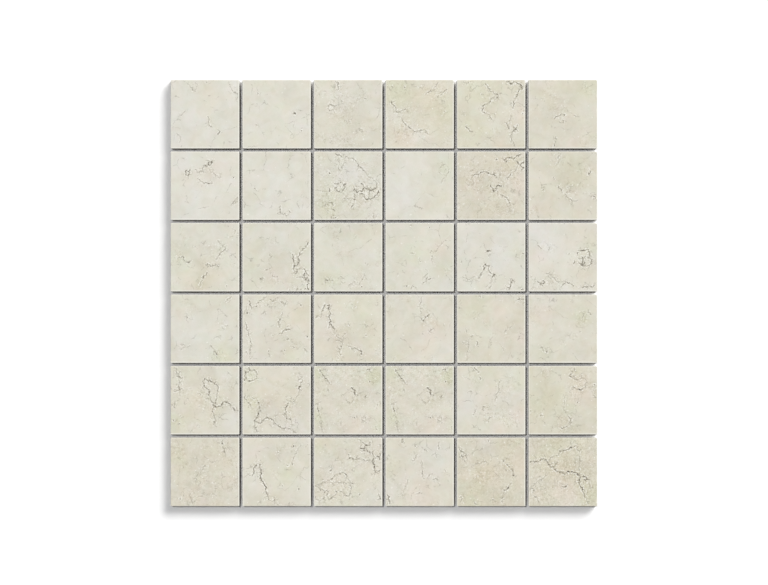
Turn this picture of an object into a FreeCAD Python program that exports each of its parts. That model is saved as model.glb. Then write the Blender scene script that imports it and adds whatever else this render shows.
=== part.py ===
import FreeCAD, Part
import os

import Sketcher

# Mosaic tile sheet: square porcelain tiles in rows and columns with open joints between them, held together by
# a net of glass yarns that is glued to their backs. The sheet lies face up on its net. The origin is the middle
# of its underside, +X runs to the right along a row and +Y towards the first row. Millimetres and degrees.
#
# From below: the warp yarns, which run along Y; the weft yarns, which run along X and touch the tiles' backs;
# the tiles.

DIMENSIONS = [
    ("tile_side", 48.0, "side of one square tile"),
    ("tile_thick", 9.0, "tile thickness, from the ribs on its back to its face"),
    ("joint_width", 2.0, "open joint between neighbouring tiles"),
    ("columns", 6, "tiles along a row"),
    ("rows", 6, "rows of tiles"),
    ("bevel", 0.5, "width of the small bevel round a tile's face"),
    ("key_side", 12.0, "side of one square recess in a tile's back"),
    ("key_land", 2.8, "width of the rib between two recesses"),
    ("key_depth", 0.6, "depth of a recess"),
    ("key_lean", 30.0, "lean of a recess's walls from upright"),
    ("yarn_pitch", 5.0, "distance between the middles of neighbouring yarns"),
    ("yarn_width", 0.9, "width of a flattened yarn"),
    ("yarn_flat", 0.5, "width of the flats on a yarn's top and bottom"),
    ("yarn_thick", 0.25, "thickness of one layer of yarns"),
    ("net_inset", 3.0, "distance from the sheet's edge to the cut ends of the yarns"),
]

# Sizes that follow from the driving dimensions
DERIVED = [
    ("tile_pitch", "=tile_side + joint_width", "distance between the middles of neighbouring tiles"),
    ("sheet_width", "=columns * tile_pitch - joint_width", "size of the sheet along X"),
    ("sheet_depth", "=rows * tile_pitch - joint_width", "size of the sheet along Y"),
    ("net_thick", "=2 * yarn_thick", "thickness of both layers of yarns"),
    ("key_pitch", "=key_side + key_land", "distance between the middles of neighbouring recesses"),
    ("key_count", "=floor((tile_side - key_land) / key_pitch)", "recesses along one side of a tile's back"),
    ("key_reach", "=(key_count * key_pitch - key_land) / 2", "a tile's middle to the edge of its last recess"),
    ("warp_length", "=sheet_depth - 2 * net_inset", "length of a warp yarn"),
    ("weft_length", "=sheet_width - 2 * net_inset", "length of a weft yarn"),
    ("warp_half", "=floor((weft_length - yarn_width) / 2 / yarn_pitch + 0.5)", "warp yarns in half the sheet"),
    ("weft_half", "=floor((warp_length - yarn_width) / 2 / yarn_pitch + 0.5)", "weft yarns in half the sheet"),
]


def make_sizes(doc):
    """The spreadsheet: one row for each size, with its meaning, its value and the value's alias."""
    sheet = doc.addObject("Spreadsheet::Sheet", "sizes")
    for row, (alias, value, meaning) in enumerate(DIMENSIONS + DERIVED, start=1):
        sheet.set(f"A{row}", meaning)
        sheet.set(f"B{row}", str(value))
        sheet.setAlias(f"B{row}", alias)
    doc.recompute()
    return sheet


def origin_feature(body, role):
    """One of the body's own origin planes or axes, by its role, such as XY_Plane."""
    return next(feature for feature in body.Origin.OriginFeatures if feature.Role == role)


def add_body(doc, name):
    body = doc.addObject("PartDesign::Body", name)
    body.Label = name
    return body


def add_sketch(body, name, plane_role):
    sketch = body.newObject("Sketcher::SketchObject", name)
    sketch.AttachmentSupport = (origin_feature(body, plane_role), [""])
    sketch.MapMode = "FlatFace"
    return sketch


def add_size(sketch, name, constraint, expression):
    """Adds a named dimension to the sketch and binds it to the spreadsheet."""
    index = sketch.addConstraint(constraint)
    sketch.renameConstraint(index, name)
    sketch.setExpression(f"Constraints.{name}", expression)


def add_loop(sketch, points):
    """A closed loop of straight lines through the points, joined end to end. Returns the lines' numbers."""
    corners = [FreeCAD.Vector(x, y, 0) for x, y in points]
    ends = corners[1:] + corners[:1]
    lines = [sketch.addGeometry(Part.LineSegment(start, end), False) for start, end in zip(corners, ends)]
    for line, following in zip(lines, lines[1:] + lines[:1]):
        sketch.addConstraint(Sketcher.Constraint("Coincident", line, 2, following, 1))
    return lines


def add_square(sketch, side, corner_distance):
    """A square of the given side, whose lower left corner lies the given distance left of the sketch's origin
    and as far below it."""
    bottom, right, top, left = add_loop(sketch, [(-2, -2), (-1, -2), (-1, -1), (-2, -1)])
    sketch.addConstraint([
        Sketcher.Constraint("Horizontal", bottom),
        Sketcher.Constraint("Horizontal", top),
        Sketcher.Constraint("Vertical", right),
        Sketcher.Constraint("Vertical", left),
        Sketcher.Constraint("Equal", bottom, right),
    ])
    add_size(sketch, "side", Sketcher.Constraint("DistanceX", bottom, 1, bottom, 2, 1.0), side)
    add_size(sketch, "corner_left", Sketcher.Constraint("DistanceX", bottom, 1, -1, 1, 2.0), corner_distance)
    add_size(sketch, "corner_below", Sketcher.Constraint("DistanceY", bottom, 1, -1, 1, 2.0), corner_distance)


def add_hexagon(sketch):
    """A yarn's flattened section, even about the sketch's upright axis and standing on its level axis."""
    points = [(-1, 0), (1, 0), (2, 1), (1, 2), (-1, 2), (-2, 1)]
    bottom, lower_right, upper_right, top, upper_left, lower_left = add_loop(sketch, points)
    sketch.addConstraint([
        Sketcher.Constraint("PointOnObject", bottom, 1, -1),
        Sketcher.Constraint("Symmetric", bottom, 1, bottom, 2, -2),
        Sketcher.Constraint("Symmetric", top, 1, top, 2, -2),
        Sketcher.Constraint("Symmetric", lower_left, 1, lower_right, 2, -2),
        Sketcher.Constraint("Vertical", bottom, 1, top, 2),
    ])
    width = Sketcher.Constraint("DistanceX", lower_left, 1, lower_right, 2, 4.0)
    thick = Sketcher.Constraint("DistanceY", bottom, 1, top, 2, 2.0)
    widest_level = Sketcher.Constraint("DistanceY", bottom, 1, lower_left, 1, 1.0)
    add_size(sketch, "flat", Sketcher.Constraint("DistanceX", bottom, 1, bottom, 2, 2.0), "sizes.yarn_flat")
    add_size(sketch, "width", width, "sizes.yarn_width")
    add_size(sketch, "thick", thick, "sizes.yarn_thick")
    add_size(sketch, "widest_level", widest_level, "sizes.yarn_thick / 2")


def add_pattern(doc, body, name, axis_role, count, length):
    """A row of copies along one of the body's own axes, as one step of a grid."""
    pattern = doc.addObject("PartDesign::LinearPattern", name)
    body.addObject(pattern)
    pattern.Direction = (origin_feature(body, axis_role), [""])
    pattern.setExpression("Occurrences", count)
    pattern.setExpression("Length", length)
    return pattern


def make_tile_form(doc):
    """The form that all tiles share, standing on its body's XY plane with its middle on the Z axis: a square
    slab with a small bevel round its face, and a grid of shallow recesses in its back that key it into the
    adhesive. The recesses' walls lean, so that the tile leaves its mould."""
    body = add_body(doc, "tile_form")
    body.AllowCompound = False
    outline = add_sketch(body, "tile_outline", "XY_Plane")
    add_square(outline, "sizes.tile_side", "sizes.tile_side / 2")
    slab = body.newObject("PartDesign::Pad", "tile_slab")
    slab.Profile = outline
    slab.setExpression("Length", "sizes.tile_thick")
    doc.recompute()

    # Only the four edges of the face lie wholly in the slab's upper half
    half_way_up = slab.Length.Value / 2
    face_edges = [
        f"Edge{number}"
        for number, edge in enumerate(slab.Shape.Edges, start=1)
        if edge.BoundBox.ZMin > half_way_up
    ]
    face_bevel = body.newObject("PartDesign::Chamfer", "face_bevel")
    face_bevel.Base = (slab, face_edges)
    face_bevel.setExpression("Size", "sizes.bevel")
    doc.recompute()

    recess_outline = add_sketch(body, "recess_outline", "XY_Plane")
    add_square(recess_outline, "sizes.key_side", "sizes.key_reach")
    recess = body.newObject("PartDesign::Pocket", "recess")
    recess.Profile = recess_outline
    recess.Reversed = True
    recess.setExpression("Length", "sizes.key_depth")
    recess.setExpression("TaperAngle", "-sizes.key_lean")
    doc.recompute()

    recesses = body.newObject("PartDesign::MultiTransform", "recesses")
    recesses.Originals = [recess]
    span = "(sizes.key_count - 1) * sizes.key_pitch"
    recesses.Transformations = [
        add_pattern(doc, body, "recesses_across", "X_Axis", "sizes.key_count", span),
        add_pattern(doc, body, "recesses_along", "Y_Axis", "sizes.key_count", span),
    ]
    body.Tip = recesses
    doc.recompute()
    return body


def place_tile(doc, form, row, column):
    """One tile of the sheet: a clone of the shared form in its place in the grid, on top of the net."""
    body = add_body(doc, f"tile_r{row}_c{column}")
    body.AllowCompound = False
    clone = body.newObject("PartDesign::FeatureBase", f"clone_r{row}_c{column}")
    clone.BaseFeature = form
    body.Tip = clone
    body.setExpression("Placement.Base.x", f"({column} - (sizes.columns + 1) / 2) * sizes.tile_pitch")
    body.setExpression("Placement.Base.y", f"((sizes.rows + 1) / 2 - {row}) * sizes.tile_pitch")
    body.setExpression("Placement.Base.z", "sizes.net_thick")
    return body


def make_yarns(doc, name, plane_role, axis_role, half_count, length):
    """One layer of the net: like yarns side by side along one axis. There is an even number of them, so that
    they lie evenly about the sheet's middle and none runs along the middle joint."""
    body = add_body(doc, name)
    body.AllowCompound = True
    section = add_sketch(body, f"{name}_section", plane_role)
    add_hexagon(section)
    yarn = body.newObject("PartDesign::Pad", f"{name}_yarn")
    yarn.Profile = section
    yarn.Midplane = True
    yarn.setExpression("Length", length)
    doc.recompute()

    layer = body.newObject("PartDesign::LinearPattern", f"{name}_layer")
    layer.Originals = [yarn]
    layer.Direction = (origin_feature(body, axis_role), [""])
    layer.setExpression("Occurrences", f"2 * {half_count}")
    layer.setExpression("Length", f"(2 * {half_count} - 1) * sizes.yarn_pitch")
    body.Tip = layer
    return body


def make_net(doc):
    """The net's two layers, the warp on the ground and the weft on top of it."""
    warp = make_yarns(doc, "net_warp", "XZ_Plane", "X_Axis", "sizes.warp_half", "sizes.warp_length")
    warp.setExpression("Placement.Base.x", "(0.5 - sizes.warp_half) * sizes.yarn_pitch")
    weft = make_yarns(doc, "net_weft", "YZ_Plane", "Y_Axis", "sizes.weft_half", "sizes.weft_length")
    weft.setExpression("Placement.Base.y", "(0.5 - sizes.weft_half) * sizes.yarn_pitch")
    weft.setExpression("Placement.Base.z", "sizes.yarn_thick")
    return [warp, weft]


def check(doc, pieces):
    """Stops if an object failed, or if a piece has no sound solid."""
    failed = [thing.Name for thing in doc.Objects if "Invalid" in thing.State or "Error" in thing.State]
    if failed:
        raise RuntimeError("failed objects: " + ", ".join(failed))
    for piece in pieces:
        shape = piece.Shape
        if shape.isNull() or not shape.isValid() or not shape.Solids:
            raise RuntimeError("unsound piece: " + piece.Label)


def export(pieces):
    """Writes each piece to its own file in parts/."""
    os.makedirs("parts", exist_ok=True)
    for piece in pieces:
        piece.Shape.exportStep(f"parts/{piece.Label}.step")


def main():
    doc = FreeCAD.newDocument("mosaic_tile_sheet")
    sizes = make_sizes(doc)
    form = make_tile_form(doc)
    tiles = [
        place_tile(doc, form, row, column)
        for row in range(1, int(sizes.rows) + 1)
        for column in range(1, int(sizes.columns) + 1)
    ]
    pieces = tiles + make_net(doc)
    doc.recompute()
    check(doc, pieces)
    export(pieces)
    for piece in (tiles[0], tiles[-1], *pieces[-2:]):
        shape = piece.Shape
        print(piece.Label, len(shape.Solids), "solids", round(shape.Volume, 2), "mm3", shape.BoundBox)


main()
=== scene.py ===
import math
import random

import bmesh
import bpy
import numpy as np
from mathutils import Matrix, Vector, noise
from mathutils.geometry import delaunay_2d_cdt


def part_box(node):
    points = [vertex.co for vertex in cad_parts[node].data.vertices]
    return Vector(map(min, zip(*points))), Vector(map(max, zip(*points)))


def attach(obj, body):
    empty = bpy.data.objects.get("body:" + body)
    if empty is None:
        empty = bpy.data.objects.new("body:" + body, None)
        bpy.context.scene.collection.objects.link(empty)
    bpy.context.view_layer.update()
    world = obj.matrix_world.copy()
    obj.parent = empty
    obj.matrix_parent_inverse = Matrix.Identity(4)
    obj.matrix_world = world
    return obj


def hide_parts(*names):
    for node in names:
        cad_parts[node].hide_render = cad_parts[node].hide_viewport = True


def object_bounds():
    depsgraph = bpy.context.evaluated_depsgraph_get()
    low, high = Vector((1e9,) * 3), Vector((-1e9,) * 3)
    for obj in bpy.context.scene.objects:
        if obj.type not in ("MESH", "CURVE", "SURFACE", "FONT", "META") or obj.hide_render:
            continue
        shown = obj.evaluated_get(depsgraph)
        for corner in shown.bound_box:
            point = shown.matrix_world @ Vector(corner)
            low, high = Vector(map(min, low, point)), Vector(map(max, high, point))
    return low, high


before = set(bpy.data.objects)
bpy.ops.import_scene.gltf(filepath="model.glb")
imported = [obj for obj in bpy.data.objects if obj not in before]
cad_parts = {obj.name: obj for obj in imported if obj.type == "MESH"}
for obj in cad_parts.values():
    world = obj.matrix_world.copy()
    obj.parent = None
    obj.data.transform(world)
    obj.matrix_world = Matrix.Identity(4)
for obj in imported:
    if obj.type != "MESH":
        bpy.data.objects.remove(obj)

# Mosaic tile sheet, lying face up: square porcelain tiles with a printed limestone look, on a woven net of
# glass yarn. The frame is in metres. A tile is drawn in millimetres about its own middle, and then put in
# its place in the frame. Sizes are in millimetres where nothing else is said.

MM = 0.001
CAD_LOW, CAD_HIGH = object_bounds()
TILES = sorted(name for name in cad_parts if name.startswith("tile_"))

# The tile's edge: its rounded arris and corners, and the slight chips along it
ARRIS = 0.5
ARRIS_STEPS = 3
CORNER_RADIUS = 0.6
CORNER_STEPS = 3
EDGE_STEP = 2.0
CHIP_DEPTH = 0.03
CHIPS_PER_MM = 0.9
CHIP_SEED_STEP = 5.3
OUTLINE_ARRIS_SHARE = 0.3

# The pale rim along a tile's right, upper, left and lower joint. It is partly glaze that pales where it
# thins and partly a painted highlight. It is widest along the lower joint, whose arris faces away from the
# lamps. Given here: how much narrower it is than along the right one, and an amount that leaves it out, as
# on the sheet's outline
RIM_HIGHLIGHT_NARROWER = (0.0, 0.4, -0.05, -0.25)
RIM_ABSENT = 3.0

# The recesses in a tile's back
KEY_SIDE = 12.0
KEY_LAND = 2.8
KEY_DEPTH = 0.6
KEY_LEAN = math.radians(30)

# A vein's course: the length of its steps, and the noises that shake it, as waves per millimetre and reach
VEIN_STEP = 0.5
SHAKES = ((0.4, 0.2), (0.85, 1.1))

# Places in the noises: how far apart those for the shakes along the two axes are, and how far the tiles' own
# places for the shakes and for the print are spread
SHAKE_APART = 20.0
SHAKE_RANGE = 200
PRINT_RANGE = 900

# A vein's ink: its darkest grade and its strength there, how it fades at an end, and the noise that beads it
DARKEST = 9
INK_STRENGTH = 0.98
END_INK = 0.65
END_FADE_PER_MM = 0.5
BEADS_PER_MM = 0.7
BEADS_APART = 9
BEAD_LEVEL = 0.95
BEAD_UNSTEADY = 1.3
BEAD_RANGE = (0.3, 1.4)
SPECK_RADIUS = 0.3
SPECK_DARKEST = 7

# The twigs that leave a vein of more than so many points: angles in radians, lengths in steps
TWIG_CHANCE = 0.18
TWIG_MIN_POINTS = 8
TWIG_LEAVES_AT = (0.5, 1.3)
TWIG_BEND = 0.8
TWIG_STEPS = (2, 7)
TWIG_INK = (0.85, 0.35)

# The printed face's mesh: points on the veins, at these distances beside them, and on a loose grid, and how
# clear of the veins and of the face's edge they stay. Points this close are merged, and no divisor is less
# than the last value.
VEIN_REACHES = (0.4, 0.85)
VEIN_CLEAR = 0.32
VEIN_FAR = 6.0
PRINT_GRID = 2.0
GRID_CLEAR = VEIN_REACHES[-1] * 1.3
EDGE_CLEAR = 0.3
MERGE_WITHIN = 0.001
TINY = 1e-9

# The net: leno warp strands that sway and twist round the weft, and flat weft yarns that wave a little
YARN_PITCH = 5.0
YARN_WIDTH = 0.9
NET_THICK = 0.5
WARP_HALF_WIDTH = 0.2
WARP_HALF_HEIGHT = 0.07
WARP_SIDES = 4
WARP_SWAY = 0.21
WARP_INSIDE = 0.01
WARP_STEPS_PER_PITCH = 3
WEFT_HALF_HEIGHT = 0.1
WEFT_SIDES = 6
WEFT_STEPS = 58
WEFT_SWAY = 0.12
WEFT_TURN_PER_MM = 0.11
WEFT_SHIFT_PER_MM = 1.7

# The studio: how bright the white floor is under each light, where 1 is paper white in the picture
FLOOR_ALBEDO = 0.95
OVERHEAD_SHARE = 0.3
SIDE_SHARE = 0.69
ROOM_SHARE = 0.2
PAINT_EXPOSURE = (OVERHEAD_SHARE + SIDE_SHARE + ROOM_SHARE) / FLOOR_ALBEDO

# The printed veins. For each tile: how dark a vein is, from 1 to 9, and then the points that
# it runs through, as x,y pairs from the tile's upper left corner, x to the right and y downwards. A single
# point is a speck.
VEINS = {
    "tile_r1_c1": [(3, 11.5,1.5, 13,4, 15,6, 17,7.5, 18.5,4, 17,1.5), (5, 15.5,7), (4, 25,1.5),
        (4, 40.5,0.5, 42,5, 44.5,9, 47,9.5, 46.5,12), (5, 10,21.5, 8.5,23.5, 7.5,25),
        (6, 25.5,25, 26.5,26.5, 27,28, 26.5,30.5, 27.5,32, 29,32.5), (5, 32.5,34.5, 34.5,36, 33,37.5),
        (3, 3.5,37, 7,40, 6,44)],
    "tile_r1_c2": [
        (9, 36.5,23.2, 37.5,23.2, 37.5,23.5, 36.5,23.5, 36.5,23.8, 37.5,23.8, 37.4,24.1, 36.6,24.1),
        (3, 36.5,28.5, 36,32.5), (4, 9,30.5, 10.5,31.5), (3, 35,37.5, 34,39), (5, 41.5,35.5), (4, 11,9.5)],
    "tile_r1_c3": [(7, 17,1, 17.5,5, 17,7), (6, 10,19, 10.5,17.5, 12,17, 13.5,18, 14,19),
        (5, 10.3,20, 12,21.5, 13.4,20.5), (4, 19,14, 20,15), (4, 30,13, 31.5,13.5), (3, 35.5,13),
        (4, 24,26.5, 25,29), (4, 32,35, 34,34.5), (4, 11,40.5, 12.5,41), (4, 19,42, 20.5,41)],
    "tile_r1_c4": [(5, 37,1.5, 35.5,4, 34,6.5, 32,8, 27.5,9.5), (5, 43,6.5, 41.5,7.5, 38.5,10.5, 37,11.5),
        (5, 4,14.5, 5,17, 7,19.5, 8.5,22, 10,22, 12.5,21, 14.5,20.5), (4, 13.5,5), (7, 0.5,26.5, 1.5,26.5),
        (5, 11,26, 12.5,29, 15,32, 18,34, 20.5,36, 24,35.5, 27,35, 28.5,36, 29,38), (6, 15.5,32.5, 18,34),
        (3, 41.5,22)],
    "tile_r1_c5": [(6, 20,2, 21.5,5, 23.5,7.5, 27.5,10, 29,10.5),
        (6, 26.5,10, 28,9, 29.5,10.5, 29,12.5, 27,12),
        (5, 27,10.5, 24,13, 23,16, 19,17, 18,19, 18,22, 19,22.5, 21.5,24, 23.5,26, 25,28),
        (8, 34,0.5, 36,1.5, 38,2.5, 40,1.5, 42,2.5, 45,3.5, 46,4.5, 45.5,7),
        (6, 46,4.5, 44,7, 42,10, 41,12.5, 40.5,15, 39.5,18, 39.5,20), (9, 42.5,10, 41.5,12),
        (3, 38.5,23.5, 37.5,27.5, 37,30.5), (7, 34.5,29.5, 36,32.5, 36.5,35), (8, 37,32, 36,34),
        (7, 42.5,31, 41.5,33, 40,35.5, 38,37.5, 37.5,39), (5, 37.5,39, 39,41.5, 40,45, 41,47.5),
        (5, 6,32.5, 8.5,34.5, 11,37), (5, 17.5,10), (3, 3.5,1, 6.5,2, 8.5,1), (3, 3.5,24.5, 5,22.5, 5.5,25),
        (7, 47.5,19), (5, 46,23.5)],
    "tile_r1_c6": [(6, 18,27, 20,25.5, 23,24.5, 26,24), (3, 29.5,23.5, 32.5,24.5, 35,25.5),
        (3, 21.5,29.5, 23,30.5, 25,29, 24,27.5), (5, 19,38.5, 19.5,40.5, 19,43.5, 18,45.5, 17.5,47.5),
        (3, 40,3.5, 39.5,5.5)],
    "tile_r2_c1": [(9, 11.5,12.5, 10.5,14.5, 11,16.5, 12.5,17, 13,14.5, 12,13.5), (7, 13.5,13),
        (9, 26.5,7.5, 27,10, 28,9.5, 29,7.5, 27.5,7), (5, 26,9, 23.5,11, 21,13.5, 18.5,14.5, 18,13),
        (6, 18.5,18.5, 20.5,20, 23,21.5, 26.5,22, 29.5,22.5),
        (4, 27,11.5, 28,14.5, 30,15, 33.5,18.5, 35.5,16), (5, 46.5,31.5, 45,34.5, 43,36.5, 47,35),
        (5, 44,18)],
    "tile_r2_c2": [(7, 8,26, 9.5,27, 10.5,27.5), (5, 26,37.5, 27,43, 32,44.5), (6, 33,41, 33,43)],
    "tile_r2_c3": [(5, 20,4.5, 21.5,4, 24,4, 26.5,4.5, 29,6.5, 31.5,9, 33,11.5, 35.5,14.5, 38.5,17.5, 40,18,
        42.5,20.5, 44.5,23), (5, 44.5,23, 43.5,25, 42,26.5), (8, 14.5,1.5, 16.5,2, 18,2.5, 20,4.5),
        (4, 17.5,4.5, 17.5,9.5, 19,13.5, 21.5,6.5), (8, 11,14.5, 11.7,15.3), (8, 38.2,17.2, 39,17.8),
        (6, 19,21.5), (6, 22,23), (5, 20.5,27),
        (9, 28,25, 28.5,27, 30,28, 32.5,28, 34.5,26.5, 35,25, 33,22),
        (8, 35,25, 37.5,26, 40,27.5, 42.5,26, 44.5,23.5), (9, 32,29.5, 34.5,30),
        (8, 35.5,30.5, 36,33, 39,33, 42,32, 45,29.5, 46,27.5),
        (6, 21,33, 24,32.5, 27,33.5, 29,33.5, 28,29.5), (5, 28.5,34.5, 28,37.5, 26,39.5),
        (7, 10.5,26, 11,28), (6, 14.5,22, 16.5,23.5, 15,26, 18,27.5, 22,25, 20,22),
        (6, 8,37.5, 11,35.5, 14,37.5), (9, 13.4,41, 14,41.6), (5, 9,40.5, 10,42), (5, 12,38.5, 13,40),
        (7, 12,46, 13.5,47, 15.5,46.5), (6, 42,43.5, 41.5,46.5)],
    "tile_r2_c4": [(3, 38,12.5, 39,10, 42,9, 44,11, 44.5,13.5, 43,16.5, 40.5,16.5, 38.5,14.5),
        (3, 42.5,17.5, 39.5,20.5, 38.5,22)],
    "tile_r2_c5": [(9, 27,5.5, 28.5,6), (7, 33.5,7, 34,5, 36,4.5, 38,4.5, 40,5, 42,3.5, 44,2, 46,2),
        (6, 34.5,7.5, 35.5,6.5), (7, 42,7, 42.5,8.5, 44,9.5, 46,11, 47.5,12), (7, 44.5,9.5, 46,8, 47.5,7),
        (5, 42.5,10.5, 41.5,13, 38.5,15, 36.5,17.5, 33.5,20),
        (6, 9.5,16.5, 12.5,16, 16,15.5, 17.5,14.5, 20.5,14.5, 23,15.5, 25,16.5, 27,17, 27.5,18.5),
        (7, 25,16.5, 26,14.5, 27,16), (3, 27.5,19, 29.5,18, 30.5,16, 30,13.5, 31,11),
        (8, 23.5,22.5, 24,24.5, 25,26.5, 26,28, 27.5,26.5, 28,24.5, 29.5,23.5, 32,24.5),
        (6, 30.5,29.5, 32.5,31, 35,32.5, 36.5,34.5, 37.5,36.5, 37,38.5), (3, 36.5,38.5, 36.5,43),
        (5, 1,31, 0.5,34.5, 1,39.5), (3, 9.5,19, 12,21.5, 10,24), (3, 6.5,22.5, 7.5,23.5)],
    "tile_r2_c6": [(5, 23,1.5, 21.5,3, 20.5,4.5), (3, 21,7, 19,9.5), (6, 17,17.5, 18,19),
        (7, 21,24, 22.5,26, 23.5,27.5), (4, 25,29.5, 27.5,32, 30,34, 32,35, 35,33.5),
        (6, 9.5,27.5, 11.5,26.5), (3, 27.5,25), (6, 44,13, 43,15, 42,16.5), (9, 46,31.5),
        (5, 45,33, 47.5,32.5)],
    "tile_r3_c1": [(4, 33,12, 35,15, 37.5,16.5, 39,15.5),
        (5, 37.5,16.5, 38,18, 35.5,20.5, 34,22, 32.5,24.5, 32,26), (3, 44.5,4, 45,6.5, 44.5,7.5),
        (6, 47.5,9), (6, 4.5,24.5, 6.5,24, 8.5,24, 9.5,26.5, 11.5,27.5, 14.5,26.5),
        (4, 8,22.5, 9,25, 10.5,27.5), (6, 24,29, 26.5,29, 29,30, 32,29.5, 34,31), (3, 29,28.5, 29.5,31),
        (6, 26,34.5, 24,36.5, 22.5,38.5), (5, 22,40.5, 21,42.5, 20.5,44), (3, 39,44), (3, 17,16.5)],
    "tile_r3_c2": [(7, 48,14, 46.5,14, 45.5,15, 44.5,16.5, 42.5,18, 41,20, 40,22.5, 39,24, 39.5,26, 40,27,
        38.5,29, 37,30), (7, 35,22, 35.5,25.5, 36,28.5, 36.5,32, 36.5,34.5, 37,35.5),
        (7, 37,35.5, 38.5,34, 39,32, 41,32, 43,32.5, 44.5,34.5, 46.5,36.5),
        (8, 44.5,34.5, 43,36, 43.5,37.5, 45,39, 46.5,40.5, 47.5,40.5),
        (6, 38,37.5, 39.5,38, 41.5,38.5, 43,39),
        (8, 45.5,37.5, 44.5,39.5, 46.5,41.5, 45.5,43.5, 46.5,46, 47,47), (6, 38.5,46), (6, 33,47),
        (5, 41,46.5), (5, 44,46), (3, 34.5,43.5, 36,44.5), (3, 22,22, 20,24, 18.5,26, 18.5,27.5),
        (4, 20.5,30.5, 18.5,32, 16,33.5), (3, 12,38.5, 13.5,38, 14.5,39, 13,40, 12,38.5), (6, 13,39),
        (3, 19,40.5, 21,38.5, 23,37.5, 25,37.5, 25,40.5)],
    "tile_r3_c3": [(4, 17,11), (3, 27,11, 30,9), (3, 36,3.5, 37,5), (4, 36.5,27.5, 37.5,29.5, 38.5,28.5),
        (4, 36.5,35, 35,37, 33.5,39.5, 32.5,42, 31,43.5), (5, 31,43.5, 29,43, 28.5,41.5, 25.5,43, 24,43.5),
        (5, 7.5,38.5, 9,40, 12,40.5, 14,40), (3, 17,38.5, 19.5,38, 19.5,41, 22,42), (4, 33.5,44.5),
        (4, 47.5,22)],
    "tile_r3_c4": [(6, 18,1.5), (4, 31,3), (5, 17,21.5, 19,21, 20.5,21), (5, 24,24.5, 24.5,27),
        (3, 31.5,21, 33,19.5, 35.5,19.5, 37.5,17, 40.5,14, 42.5,12.5), (3, 33,22.5, 33,27.5, 32.5,29.5),
        (4, 28.5,32.5, 29,35.5, 27.5,37.5), (9, 31.5,38.5, 30.5,40), (5, 29.5,37.5, 28,40.5, 26.5,41),
        (5, 18,46.5, 19.5,44.5, 21.5,45.5, 22.5,46.5), (5, 15,44), (3, 41.5,32, 42.5,34)],
    "tile_r3_c5": [(9, 21.5,19, 22.5,19, 22.5,20, 21.5,20, 21.5,19),
        (9, 19,29.5, 20,28.5, 21,30, 22.5,29.5), (9, 19,29.5, 19,31.5, 18.5,32.5, 19.5,32),
        (9, 22,32, 23,34, 24,35), (8, 25.5,35, 26.5,36, 26,37.5, 24.5,38),
        (5, 18.5,33, 17.5,35, 16.5,37, 15,39), (4, 24,38, 24.5,40.5, 24,43, 23,46),
        (5, 6,35.5, 6.5,37.5, 7.5,39.5, 9.5,39, 12.5,37), (7, 41,40.5, 38.5,41.5, 37.5,43, 37.5,46),
        (5, 37.5,39, 38,41.5), (9, 45,46.5, 47.5,46.5), (7, 45.5,21, 47.5,21.5), (3, 42,24.5, 44,24.5),
        (4, 3,26.5, 3.5,28.5)],
    "tile_r3_c6": [(6, 6.5,15.5, 7.5,16.5, 9,18), (4, 28.5,21.5),
        (8, 35,19, 37.5,19.5, 39,19.5, 41,18.5, 42.5,20, 43,22.5),
        (6, 43,22.5, 43.5,25, 44.5,27.5, 43,29, 40.5,29.5),
        (9, 40.5,29.5, 39,30, 37.5,29.5, 37.5,27.5, 38.5,25, 37.5,23.5), (8, 35,22, 34,21.5, 35,20),
        (9, 38,26, 39,27.5, 38,29), (8, 41.5,24, 42.5,23.5, 42.5,25), (7, 31.5,26.5, 32.5,27.5, 31.5,29),
        (8, 6.5,41, 8,42, 9,43), (7, 10,40, 11.5,41.5, 9.5,42.5, 8,43, 10.5,43.5),
        (4, 12.5,34.5, 15,36, 17.5,38, 19,40, 21.5,41, 24.5,41), (3, 14,36, 15.5,39.5, 14.5,43),
        (6, 22.5,44.5, 24,43.5, 25.5,42, 27.5,41.5, 29.5,42.5, 32,44), (5, 25.5,40.5, 27.5,42),
        (8, 38,45.5, 39.5,44, 41.5,44.5, 43.5,44, 45,44.5, 46.5,43), (4, 1,37.5, 3,37.5),
        (5, 2,46, 3,46.5)],
    "tile_r4_c1": [(5, 42.5,1.5, 40.5,3, 38,5.5), (4, 11.5,16), (5, 38.5,22),
        (3, 29.5,31, 31,30, 33.5,29.5, 35.5,30), (4, 28,35.5, 29,37, 30.5,39, 32,41.5), (7, 32,41.5),
        (3, 6.5,35.5, 8,34.5, 9,35, 9.5,37, 7.5,38.5, 6,38), (3, 11.5,36.5, 13,36)],
    "tile_r4_c2": [(9, 5,3.5, 5.5,6), (6, 5.5,6, 6,8, 8,8.5, 10.5,8), (6, 12,3.5, 13.5,4.5, 15,3.5, 16,2),
        (6, 10,6.5, 11.5,5, 12.5,6), (5, 15,6.5, 17,8, 18.5,6.5),
        (5, 19.5,3.5, 21,5, 22.5,4.5, 24,2.5, 25,3.5), (5, 27,5.5, 29,6.5, 30.5,4.5, 29.5,8),
        (4, 3.5,8.5, 2,11, 1,13.5), (7, 3.5,13), (7, 2.5,20, 3,23, 4,25.5),
        (4, 4,25.5, 5,29.5, 6,33.5, 6,37.5, 5,40.5, 5.5,45.5), (3, 1,40.5, 3,40, 3.5,42.5),
        (5, 28,12.5, 28,15, 26.5,17.5, 25.5,20, 26.5,21.5),
        (7, 33.5,24.5, 31.5,24, 30,25.5, 28,26.5, 26,27.5), (3, 23.5,28, 21,28),
        (7, 31.5,29.5, 32,30.5, 31,30.5), (5, 34,35.5, 35.5,36, 36.5,36.5), (4, 29.5,39), (4, 18.5,39.5),
        (5, 45.5,29.5), (5, 41,7.5), (3, 43,37, 45,38.5, 45.5,40.5), (3, 16.5,13.5)],
    "tile_r4_c3": [(9, 9.5,7, 11,8, 10.5,10, 11,11.5),
        (8, 11,11.5, 11.5,13.5, 10.5,15.5, 11.5,18, 11,19.5, 12,21.5, 13.5,23, 14,24.5),
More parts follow.
